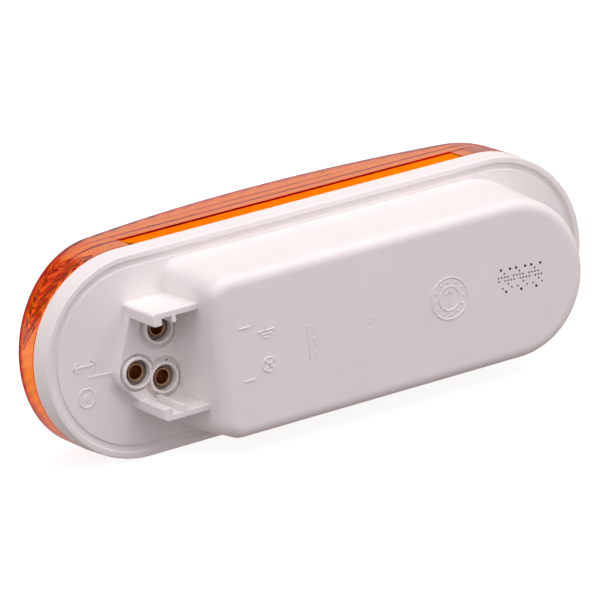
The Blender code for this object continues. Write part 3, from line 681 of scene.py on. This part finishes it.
def plug_block():
    """The raised pad round the sockets, with a fillet at its root and a rounded top edge."""
    centre = socket_places()["stop"]
    turn = [(*point, 0) for point in arc(centre, PAD_TURN_RADIUS, 15, -55, 12)]
    outline = rounded([
        (ROOT_X, BAY_TOP - PAD_STEP, 0),
        (PAD_END_TOP, BAY_TOP - PAD_STEP, 0.8 * MM),
        *turn,
        (PAD_END_BOTTOM, BAY_BOTTOM + PAD_STEP, 0.8 * MM),
        (ROOT_X, BAY_BOTTOM + PAD_STEP, 0),
    ], closed=True)
    profile = rounded([
        (1.2 * MM, PLATE_Y - 0.6 * MM, 0),
        (1.2 * MM, PLATE_Y - 0.02 * MM, 0),
        (0.15 * MM, PLATE_Y - 0.02 * MM, 0.7 * MM),
        (0, BLOCK_Y, 0.45 * MM),
        (-0.8 * MM, BLOCK_Y, 0),
    ])
    return lofted("plug_block", [at(grown(outline, out), y) for out, y in profile])


def moat(name, centre, radius):
    """A cutter for the recess round a boss, flared where it leaves the pad."""
    flare = 0.25 * MM
    profile = rounded([
        (0, MOAT_FLOOR, 0),
        (radius, MOAT_FLOOR, 0.4 * MM),
        (radius, BLOCK_Y + flare, 0),
        (radius + 0.01 * MM, BLOCK_Y + 2 * MM, 0),
        (0, BLOCK_Y + 2 * MM, 0),
    ])
    return turned(f"moat_{name}", profile, centre)


def boss(name, centre):
    """The white ring round a socket."""
    profile = rounded([
        (0, PLATE_Y - 0.8 * MM, 0),
        (BOSS_RADIUS + 0.1 * MM, PLATE_Y - 0.8 * MM, 0),
        (BOSS_RADIUS, BOSS_Y, 0.35 * MM),
        (0, BOSS_Y, 0),
    ])
    return turned(f"boss_{name}", profile, centre)


def socket_hole(name, centre):
    """A cutter for a socket, with a small lead-in at its mouth."""
    chamfer = 0.3 * MM
    profile = [
        (0, FLOOR_Y - MM),
        (SOCKET_RADIUS, FLOOR_Y - MM),
        (SOCKET_RADIUS, BOSS_Y - chamfer),
        (SOCKET_RADIUS + 0.3 * chamfer, BOSS_Y - 0.3 * chamfer),
        (SOCKET_RADIUS + chamfer, BOSS_Y),
        (SOCKET_RADIUS + 1.5 * chamfer, BOSS_Y + 0.3 * MM),
        (0, BOSS_Y + 0.3 * MM),
    ]
    return turned(f"hole_{name}", profile, centre)


def plug_bay(places):
    """The pad round the sockets, with a recess and a white ring round each of them."""
    pad = plug_block()
    combine(pad, [moat(name, places[name], radius) for name, radius in MOAT_RADII.items()], "DIFFERENCE")
    combine(pad, [boss(name, centre) for name, centre in places.items()], "UNION")
    return pad


def housing():
    """The white housing with its plug bay."""
    places = socket_places()
    body = housing_shell()
    combine(body, [
        plug_bay(places),
        shroud("shroud_top", BAY_TOP, -1),
        shroud("shroud_bottom", BAY_BOTTOM, 1),
    ], "UNION")
    combine(body, [socket_hole(name, centre) for name, centre in places.items()], "DIFFERENCE")
    smooth(body.data)
    weighted = body.modifiers.new("even_normals", "WEIGHTED_NORMAL")
    weighted.keep_sharp = True
    dress(body, WHITE, "housing_plastic", "housing")


# Lens


def crown(x):
    """Depth of the lens's face along the lamp."""
    share = x / (LENGTH / 2)
    return -(CROWN_DEPTH - (CROWN_DEPTH - LENS_END_DEPTH) * share * share)


def scallop(place, pitch):
    """A row of round ridges, from 0 in a valley to 1 on a crest."""
    return 0.5 - 0.5 * math.cos(math.tau * place / pitch)


def bend_centre(x):
    """The centre of the oval's end where x lies in one, or the middle line's point at x."""
    return Vector((math.copysign(END_CENTRE, x) if abs(x) > END_CENTRE else x, 0))


def lens_outline(radius):
    """The oval, with extra points where the scoops end."""
    extra = [SCOOP_NEAR, SCOOP_NEAR - 0.25 * MM, SCOOP_NEAR - 0.55 * MM, SCOOP_FAR, SCOOP_FAR + 0.3 * MM]
    places = [point[0] for point in side(END_CENTRE, -END_CENTRE, radius)] + extra
    near = arc((END_CENTRE, 0), radius, 0, 90, 2 * ARC_STEPS)
    far = arc((-END_CENTRE, 0), radius, 90, 180, 2 * ARC_STEPS)
    return mirrored(near + [(x, radius) for x in sorted(places, reverse=True)] + far)


def face_grid(bm, radius, depth, rows):
    """A face over the oval of a radius as columns across it. Returns its edge as a closed row."""
    outline = lens_outline(radius)
    columns = []
    for x, height in outline[: len(outline) // 2 + 1]:
        flat = height < 1e-9
        spots = [0.0] if flat else [height * (1 - 2 * j / rows) for j in range(rows + 1)]
        columns.append([bm.verts.new((x, depth(x, z), z)) for z in spots])
    for first, second in zip(columns, columns[1:]):
        for j in range(rows):
            if len(first) == 1:
                bm.faces.new((first[0], second[j], second[j + 1]))
            elif len(second) == 1:
                bm.faces.new((first[j], first[j + 1], second[0]))
            else:
                bm.faces.new((first[j], first[j + 1], second[j + 1], second[j]))
    top = [column[0] for column in columns]
    bottom = [column[-1] for column in columns[1:-1]]
    return top + bottom[::-1]


def inner_wall(share):
    """One ring of the lens's inner wall: soft flutes on the sides, prisms round the upper ends.

    share is its place on the wall, from 0 at the foot to 1 at the face. The relief fades out at both.
    """
    ring = []
    radius = RADIUS - LENS_WALL
    low = LENS_FOOT - INNER_STEPS[0][0] - WALL_MARGIN
    fade = min(1.0, 6 * share, 5 * (1 - share))
    for x, z in lens_outline(radius):
        y = low + share * (crown(x) + LENS_FACE + INNER_CORNER[1] - low)
        centre = bend_centre(x)
        angle = round(math.degrees(math.atan2(z, abs(x - centre.x))))
        along = (angle - PRISM_SPAN[0]) / (PRISM_SPAN[1] - PRISM_SPAN[0])
        if abs(x) > END_CENTRE and z > 0:
            lean = PRISM_LEAN * (0.5 - share) * fade * min(1.0, angle / LEAN_RAMP, (90 - angle) / LEAN_RAMP)
            turned_to = math.radians(angle + lean)
            x = centre.x + math.copysign(radius * math.cos(turned_to), x)
            z = radius * math.sin(turned_to)
        if abs(x) > END_CENTRE and 0 <= along <= 1 and z > 0:
            tooth = (angle - PRISM_SPAN[0]) % PRISM_PITCH / (PRISM_PITCH - 1)
            inward = (PRISM_DEPTH[0] + along * (PRISM_DEPTH[1] - PRISM_DEPTH[0])) * fade * tooth
        else:
            above = max(0.0, LENS_FOOT - SCOOP_HEIGHT - y)
            inward = FLUTE_RISE * fade * (1 - math.cos(math.tau * above / FLUTE_PITCH))
        towards = (centre - Vector((x, z))).normalized()
        ring.append(Vector((x + towards.x * inward, y, z + towards.y * inward)))
    return ring


def scoop_share(x):
    """How deep the scoop is at a place along the lamp: round at its near end, square at its far end."""
    near = (SCOOP_NEAR - x) / SCOOP_RUN_OUT[0]
    far = (x - SCOOP_FAR) / SCOOP_RUN_OUT[1]
    return math.sin(math.pi / 2 * min(1.0, max(0.0, near), max(0.0, far)))


def scooped(steps, radius):
    """Rings of a lens wall near its foot, drawn in where the scoop is."""
    rings = []
    for rise, inset, scooped_inset in steps:
        row = []
        for x, z in lens_outline(radius):
            drawn_in = inset + (scooped_inset - inset) * scoop_share(x)
            centre = bend_centre(x)
            spot = centre + (Vector((x, z)) - centre) * (1 - drawn_in / radius)
            wall = LENS_FOOT - LENS_EDGE_RADIUS - crown(x)
            fitted = rise * min(1.0, SCOOP_SHARE * wall / SCOOP_HEIGHT)
            row.append(Vector((spot.x, LENS_FOOT - fitted, spot.y)))
        rings.append(row)
    return rings


def pillows(x, z):
    """Depth of the lens's inner face, with its cushion-shaped optics."""
    rise = PILLOW_RISE[0] * scallop(x, PILLOW[0]) + PILLOW_RISE[1] * scallop(z, PILLOW[1])
    return crown(x) + LENS_FACE + rise


def inner_rings():
    """The lens's inside, from the edge of its inner face to its foot and round its tongue."""
    radius = RADIUS - LENS_WALL
    rings = [at(lens_outline(radius), lambda x, z: crown(x) + LENS_FACE + INNER_CORNER[1])]
    rings += [inner_wall(row / WALL_ROWS) for row in range(WALL_ROWS - 1, 0, -1)]
    rings += scooped(INNER_STEPS, radius)
    tongue_inner, tongue_outer, tongue_end = TONGUE
    return rings + [at(lens_outline(radius), y) for radius, y in (
        (tongue_inner, LENS_FOOT),
        (tongue_inner, tongue_end),
        (tongue_outer, tongue_end),
        (tongue_outer, LENS_FOOT),
    )]


def bend_rings():
    """The rounded edge between the lens's outer wall and its face."""
    rings = []
    for step in range(BEND_STEPS + 1):
        angle = math.radians(90 * step / BEND_STEPS)
        inset = LENS_EDGE_RADIUS * (1 - math.cos(angle))
        drop = LENS_EDGE_RADIUS * (1 - math.sin(angle))
        rings.append(at(lens_outline(RADIUS - inset), lambda x, z, d=drop: crown(x) + d))
    return rings


def mark_painted_glow(rows, glow_mask):
    """Write the painted glow's weights along the bend's rows: full near the wall, fading towards the face and
    the sides.
    """
    for step, row in enumerate(rows):
        for vert in row:
            end_share = min(1.0, max(0.0, (abs(vert.co.x) - END_CENTRE) / PAINTED_GLOW_FADE))
            vert[glow_mask] = end_share * min(1, (step + 2) / 3, (BEND_STEPS - step) / 7)


def lens():
    """The amber lens: a crowned face with a round edge outside, and pillows, flutes and prisms inside."""
    bm = bmesh.new()
    glow_mask = bm.verts.layers.float.new(PAINTED_GLOW_MASK)
    rows = [face_grid(bm, RADIUS - LENS_WALL - INNER_CORNER[0], pillows, INNER_ROWS)]
    rows += [row_of(bm, ring) for ring in inner_rings() + scooped(OUTER_STEPS, RADIUS)]
    bend = [row_of(bm, ring) for ring in bend_rings()]
    # where the glow is painted on the bends
    mark_painted_glow(bend, glow_mask)
    face_radius = RADIUS - LENS_EDGE_RADIUS - FACE_MARGIN
    rows += [*bend, face_grid(bm, face_radius, lambda x, z: crown(x), FACE_ROWS)]
    shell(bm, rows)
    made = to_object("lens_moulding", bm, 25)
    dress(made, AMBER, "amber_lens", "lens")


# Marks. They are generic pictograms, a date dial with no figures and an abstract pattern of ink dots.


def raised(bm, outline, low, high):
    """A small raised shape with drafted sides."""
    base, top = row_of(bm, at(outline, low)), row_of(bm, at(grown(outline, -MARK_DRAFT), high))
    shell(bm, [base, top])
    bm.faces.new(base)
    bm.faces.new(top)


def bar(bm, start, end, low, high, width=STROKE):
    """A raised stroke between two points of (x, z)."""
    a, b = Vector(start), Vector(end)
    along = (b - a).normalized()
    across = Vector((-along.y, along.x)) * width / 2
    raised(bm, [tuple(p) for p in (a + across, b + across, b - across, a - across)], low, high)


def stroke(bm, points, low, high, closed=False):
    """Raised strokes through points of (x, z)."""
    ends = points[1:] + (points[:1] if closed else [])
    for start, end in zip(points, ends):
        bar(bm, start, end, low, high)


def circle(bm, centre, radius, low, high, width=STROKE):
    """A raised circle."""
    out = radius + width / 2
    inner = radius - width / 2
    rows = [(out, low), (out - MARK_DRAFT, high), (inner + MARK_DRAFT, high), (inner, low)]
    shell(bm, [row_of(bm, at(arc(centre, r, 0, 360, 40)[:-1], y)) for r, y in rows], loop=True)


def dot(bm, centre, radius, low, high, steps=12):
    """A raised spot."""
    raised(bm, arc(centre, radius, 0, 360, steps)[:-1], low, high)


def shifted(centre, *points):
    """Points in millimetres round a centre in millimetres, as (x, z) in metres."""
    return [((centre[0] + x) * MM, (centre[1] + z) * MM) for x, z in points]


def earth_mark(bm, centre, levels):
    """The earth pictogram: three bars that get shorter, under a stem."""
    for half, z in ((2.6, 0.9), (1.7, 0.0), (0.8, -0.9)):
        bar(bm, *shifted(centre, (-half, z), (half, z)), *levels)
    bar(bm, *shifted(centre, (0, 0.9), (0, 2.6)), *levels)


def lamp_mark(bm, centre, levels):
    """The lamp pictogram: a crossed circle."""
    circle(bm, shifted(centre, (0, 0))[0], 1.9 * MM, *levels)
    for sign in (1, -1):
        bar(bm, *shifted(centre, (-1.3, -1.3 * sign), (1.3, 1.3 * sign)), *levels)


def direct_current_mark(bm, centre, levels):
    """The direct current pictogram: a full line beside a broken one."""
    bar(bm, *shifted(centre, (0.9, -4.6), (0.9, 4.6)), *levels)
    for z in (-3.6, 0.0, 3.6):
        bar(bm, *shifted(centre, (-0.9, z - 1.0), (-0.9, z + 1.0)), *levels)


def date_dial(bm, centre, levels):
    """A date dial with twelve spots and an arrow, and no figures."""
    for radius in (5.6, 3.2):
        circle(bm, shifted(centre, (0, 0))[0], radius * MM, *levels, width=THIN_STROKE)
    for month in range(12):
        angle = math.tau * month / 12
        spot = shifted(centre, (4.4 * math.cos(angle), 4.4 * math.sin(angle)))[0]
        dot(bm, spot, 0.35 * MM, *levels)
    stroke(bm, shifted(centre, (0, -2.2), (0, 2.2), (-0.9, 1.1)), *levels)
    bar(bm, *shifted(centre, (0, 2.2), (0.9, 1.1)), *levels)


def gate_mark(bm, centre):
    """The trace of the moulding gate."""
    spot = shifted(centre, (0, 0))[0]
    circle(bm, spot, 1.5 * MM, BOX_DEPTH - MARK_ROOT, BOX_DEPTH + 0.08 * MM, width=0.4 * MM)
    dot(bm, spot, 0.5 * MM, BOX_DEPTH - MARK_ROOT, BOX_DEPTH + 0.1 * MM)


def face_marks():
    """The raised marks on the back of the box."""
    bm = bmesh.new()
    levels = (BOX_DEPTH - MARK_ROOT, housing_high.y)
    earth_mark(bm, (30.5, 4.6), levels)
    lamp_mark(bm, (30.5, -3.6), levels)
    for z in (7.6, -6.4):  # leaders towards the sockets
        bar(bm, *shifted((36.6, z), (-1.7, 0), (1.7, 0)), *levels)
    direct_current_mark(bm, (17.4, -0.8), levels)
    date_dial(bm, (-25.0, 0.4), levels)
    gate_mark(bm, (-0.4, 0.0))
    dress(to_object("face_marks", bm), WHITE, "housing_plastic")


def plate_marks():
    """The raised marks on the plate beside its socket: a two-way arrow, an octagon and a leader."""
    bm = bmesh.new()
    levels = (PLATE_Y - MARK_ROOT, PLATE_Y + MARK_HEIGHT)
    arrow, octagon = (71.0, 1.0), (71.4, -7.4)
    bar(bm, *shifted(arrow, (-3.4, 0), (3.4, 0)), *levels)
    for sign in (1, -1):
        stroke(bm, shifted(arrow, (1.9 * sign, 1.4), (3.5 * sign, 0), (1.9 * sign, -1.4)), *levels)
    corners = [math.radians(45 * k + 22.5) for k in range(8)]
    stroke(bm, shifted(octagon, *((2.6 * math.cos(a), 2.6 * math.sin(a)) for a in corners)), *levels, True)
    dot(bm, shifted(octagon, (0, 0))[0], 0.9 * MM, *levels)
    bar(bm, *shifted((66.8, -2.6), (-3.6, 0), (3.6, 0.5)), *levels)
    dress(to_object("plate_marks", bm), WHITE, "housing_plastic")


def ink_dots():
    """A batch pattern in ink dots, set by a formula and not spelling anything."""
    bm = bmesh.new()
    levels = (BOX_DEPTH - 0.05 * MM, BOX_DEPTH + 0.03 * MM)
    for column in range(15):
        for row in range(7):
            if (column * column + 2 * row * row + column * row) % 5 in (1, 3):
                wide = 0.46 if row in (0, 6) else 0.32
                x = -40.6 - DOT_PITCH[0] * column
                z = 4.0 - DOT_PITCH[1] * row - DOT_SLOPE * column
                dot(bm, (x * MM, z * MM), wide * MM, *levels, steps=8)
    dress(to_object("ink_dots", bm), INK, "housing_plastic")


# Terminals


def terminals():
    """The three turned socket terminals and the sleeves round them, down inside the housing's holes."""
    collar_top, collar_foot = COLLAR_FACES
    foot, inner_lip, outer_lip = SLEEVE_LEVELS
    for name, centre in socket_places().items():
        low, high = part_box(f"terminal_{name}")
        top = high.y
        profile = rounded([
            (0, BORE_END, 0),
            (TERMINAL_BORE, BORE_END, 0.2 * MM),
            (TERMINAL_BORE, top - 0.2 * MM, 0.1 * MM),
            (TERMINAL_BORE + 0.15 * MM, top, 0.08 * MM),
            (TERMINAL_RADIUS, top, 0.15 * MM),
            (TERMINAL_RADIUS, collar_top, 0),
            (COLLAR_RADIUS, collar_top, 0.1 * MM),
            (COLLAR_RADIUS, collar_foot, 0.1 * MM),
            (PIN_RADIUS, collar_foot, 0),
            (PIN_RADIUS, low.y, 0.2 * MM),
            (0, low.y, 0),
        ], steps=4)
        made = turned(f"socket_terminal_{name}", profile, centre)
        dress(made, TERMINAL, "brass", f"terminal_{name}")
        sleeve = turned(f"socket_sleeve_{name}", rounded([
            (SLEEVE_RADII[0], top + foot, 0),
            (SLEEVE_RADII[0], top + inner_lip, 0),
            (SLEEVE_RADII[1], top + outer_lip, 0.2 * MM),
            (SLEEVE_RADII[1], top + foot, 0),
        ]), centre, closed=True)
        dress(sleeve, SLEEVE, "brass")


# Inside


def reflector():
    """The metallised bowl, with soft bends, a hole for the bulb and two screw holes."""
    low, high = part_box("reflector")
    floor_y = high.y - BOWL_SHEET
    rim_y = low.y
    sections = [  # near end, far end, half height, corner and depth
        (high.x - BOWL_SHEET, low.x + BOWL_SHEET, high.z - BOWL_SHEET, 5 * MM, rim_y),
        (38.6 * MM, -64.4 * MM, 19.0 * MM, 5 * MM, rim_y),
        (38.4 * MM, -64.0 * MM, 18.7 * MM, 5 * MM, rim_y + 0.4 * MM),
        (37.2 * MM, -62.0 * MM, 17.6 * MM, 6 * MM, 2.5 * MM),
        (36.6 * MM, -60.6 * MM, 16.9 * MM, 6.2 * MM, 4.6 * MM),
        (35.4 * MM, -58.0 * MM, 15.6 * MM, 6.6 * MM, floor_y - 0.4 * MM),
        (34.0 * MM, -55.4 * MM, 14.2 * MM, 7 * MM, floor_y),
    ]
    front = [at(tray(*section[:4]), section[4]) for section in sections]
    back = [at(tray(near + BOWL_SHEET, far - BOWL_SHEET, height + BOWL_SHEET, corner), y + BOWL_SHEET)
            for near, far, height, corner, y in sections]
    angles = [math.atan2(p.z, p.x) for p in front[-1]]
    hole = [(BULB_HOLE * math.cos(a), BULB_HOLE * math.sin(a)) for a in angles]
    rings = [at(hole, floor_y), *front[::-1], *back, at(hole, floor_y + BOWL_SHEET)]
    made = lofted("reflector_bowl", rings, loop=True)
    before, after = floor_y - MM, high.y + MM
    through = [(0, before), (SCREW_HOLE, before), (SCREW_HOLE, after), (0, after)]
    combine(made, [turned(f"reflector_cut_{x:.3f}", through, (x, 0)) for x in SCREW_PLACES], "DIFFERENCE")
    smooth(made.data)
    dress(made, CHROME, "reflector_mirror", "reflector")


def bulb():
    """The bulb's glass envelope: a ball that narrows to a neck."""
    low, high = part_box("bulb_glass")
    radius = high.x
    centre_y = low.y + radius

    def envelope(ball, throat):
        end = math.pi - math.asin(throat / ball) - math.radians(18)
        turns = [end * i / 40 for i in range(41)]
        points = [(ball * math.sin(a), centre_y - ball * math.cos(a), 0) for a in turns[:-1]]
        return rounded(points + [(throat + 0.3 * MM, high.y - 6.5 * MM, 4 * MM), (throat, high.y, 0)])

    outer = envelope(radius, BULB_NECK)
    inner = envelope(radius - BULB_WALL, BULB_NECK - BULB_WALL)
    glass = turned("bulb_envelope", outer + inner[::-1], angle=60)
    dress(glass, GLASS, "bulb_glass", "bulb_glass")


def bulb_cap():
    """The bulb's brass base, with a bead round its mouth."""
    low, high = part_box("bulb_base")
    radius = high.x
    step = 0.3 * MM
    lip = 0.5 * MM
    base = turned("bulb_cap", rounded([
        (radius - lip, low.y, 0.1 * MM),
        (radius, low.y, 0.2 * MM),
        (radius, low.y + 1.4 * MM, 0.2 * MM),
        (radius - step, low.y + 1.8 * MM, 0.2 * MM),
        (radius - step, high.y - 0.4 * MM, 0.3 * MM),
        (radius - lip, high.y, 0.1 * MM),
    ]), closed=True)
    dress(base, BRASS, "brass", "bulb_base")


def filaments():
    """The two coiled filaments, bowed between their posts."""
    for name in ("stop", "tail"):
        start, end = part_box(f"filament_{name}")
        reach = end.x - 0.3 * MM
        route = []
        for i in range(COIL_TURNS * COIL_STEPS + 1):
            share = i / (COIL_TURNS * COIL_STEPS)
            angle = math.tau * COIL_TURNS * share
            y = end.y - 0.5 * MM - COIL_SAG * math.sin(math.pi * share)
            z = share * (start.z + end.z)
            route.append((
                reach * (2 * share - 1),
                y + COIL_RADIUS * math.cos(angle),
                z + COIL_RADIUS * math.sin(angle),
            ))
        coil = wire(f"filament_coil_{name}", route, COIL_WIRE)
        dress(coil, TUNGSTEN, "tungsten", f"filament_{name}")


def carried_over():
    """Materials for the CAD nodes that stay."""
    for name in ("ground", "stop", "tail"):
        refinish([f"lead_{name}"], LEAD_COLOURS[name])
    refinish(["lens_seal_bead"], BEAD)
    refinish(["bulb_stem"], GLASS)
    refinish(["contact_spring_stop", "contact_spring_tail"], BRASS)
    refinish(["bulb_insulator"], BLACK)
    refinish(["bulb_contact_stop", "bulb_contact_tail"], SOLDER)
    refinish([f"filament_post_{name}" for name in ("common", "stop", "tail")], STEEL)
    refinish(["bulb_cradle", "cradle_screw_near", "cradle_screw_far"], STEEL)
    refinish(["reflector_screw_near", "reflector_screw_far"], STEEL)
    refinish(["shock_bush_near", "shock_bush_far"], SILICONE)
    refinish(["contact_carrier", "terminal_board"], LAMINATE)
    refinish(["terminal_seal"], POTTING)


# Set


def floor():
    """A plain pale floor under the lamp's lower edge, lit from below as on a light table."""
    bm = bmesh.new()
    half = FLOOR_HALF
    corners = [(-half, -half), (half, -half), (half, half), (-half, half)]
    bm.faces.new([bm.verts.new((x, y, cad_low.z)) for x, y in corners])
    made = to_object("floor", bm)
    finish = material(
        "pale_floor", (0.3, 0.3, 0.3), (0.32, 0.32, 0.32), (0.6, 0.7), 0.4, 2 * MM, 0.01 * MM,
        {"Specular IOR Level": 0.0, "Emission Color": (1, 1, 1, 1), "Emission Strength": FLOOR_GLOW},
    )
    made.data.materials.append(finish)
    made.visible_diffuse = False
    made.visible_glossy = False


def facing(tree, place, axis):
    """How far a direction of the world points along an axis."""
    return node(tree, "VectorMath", {0: place, 1: axis}, operation="DOT_PRODUCT").outputs["Value"]


def surround():
    """A soft room: bright behind the lamp's back, with a backdrop low on the lens's side."""
    world = bpy.data.worlds.new("surround")
    bpy.context.scene.world = world
    world.use_nodes = True
    tree = world.node_tree
    place = node(tree, "TexCoord").outputs["Generated"]
    height = node(tree, "SeparateXYZ", {"Vector": place}).outputs["Z"]
    backward = spread(tree, facing(tree, place, BEHIND), 0, 1, -0.25, 0.0)
    sideways = spread(tree, facing(tree, place, SIDE_AXIS), 0, 1, 0.86, 0.95)
    past_edge = spread(tree, facing(tree, place, PANEL_EDGE), 0, 1, -0.04, 0.03)
    front = blend_colours(tree, spread(tree, height, 0, 1, 0.2, 0.4), LOW_FRONT, ROOM_FRONT)
    room = blend_colours(tree, backward, front, ROOM_BACK)
    above = blend_colours(tree, past_edge, BACKDROP, room)
    ground = blend_colours(tree, backward, GROUND_FRONT, GROUND_BACK)
    sky = blend_colours(tree, spread(tree, height, 0, 1, -0.02, 0.02), ground, above)
    sky = blend_colours(tree, sideways, sky, SIDE)
    tree.links.new(sky, tree.nodes["Background"].inputs["Color"])


def lights():
    """Two wide soft lights, one above and one towards the plug side."""
    for name, (power, direction, width) in LIGHTS.items():
        sun = bpy.data.lights.new(name, "SUN")
        sun.energy = power
        sun.angle = width
        made = bpy.data.objects.new(name, sun)
        made.rotation_euler = Vector(direction).to_track_quat("-Z", "Y").to_euler()
        made.visible_glossy = False
        bpy.context.scene.collection.objects.link(made)


def light_paths():
    """Plain colours, and bounces enough for light to get through the thick clear plastic."""
    bpy.context.scene.view_settings.view_transform = "Standard"
    paths = bpy.context.scene.cycles
    paths.max_bounces = 32
    paths.transmission_bounces = 32
    paths.diffuse_bounces = 6
    paths.glossy_bounces = 12


def camera():
    """The camera, behind the lamp and to its plug side, slightly above and slightly rolled."""
    azimuth, elevation, roll = (math.radians(angle) for angle in CAMERA_ANGLES)
    back = Vector((
        math.sin(azimuth) * math.cos(elevation),
        -math.cos(azimuth) * math.cos(elevation),
        math.sin(elevation),
    ))
    data = bpy.data.cameras.new("camera")
    data.sensor_width = 36
    data.lens = CAMERA_LENS
    made = bpy.data.objects.new("camera", data)
    made.location = Vector(CAMERA_TARGET) + back * CAMERA_DISTANCE
    made.rotation_mode = "QUATERNION"
    made.rotation_quaternion = (-back).to_track_quat("-Z", "Y") @ Quaternion((0, 0, 1), roll)
    bpy.context.scene.collection.objects.link(made)
    bpy.context.scene.camera = made


housing()
face_marks()
plate_marks()
ink_dots()
lens()
terminals()
reflector()
bulb()
bulb_cap()
filaments()
carried_over()
floor()
surround()
lights()
light_paths()
camera()
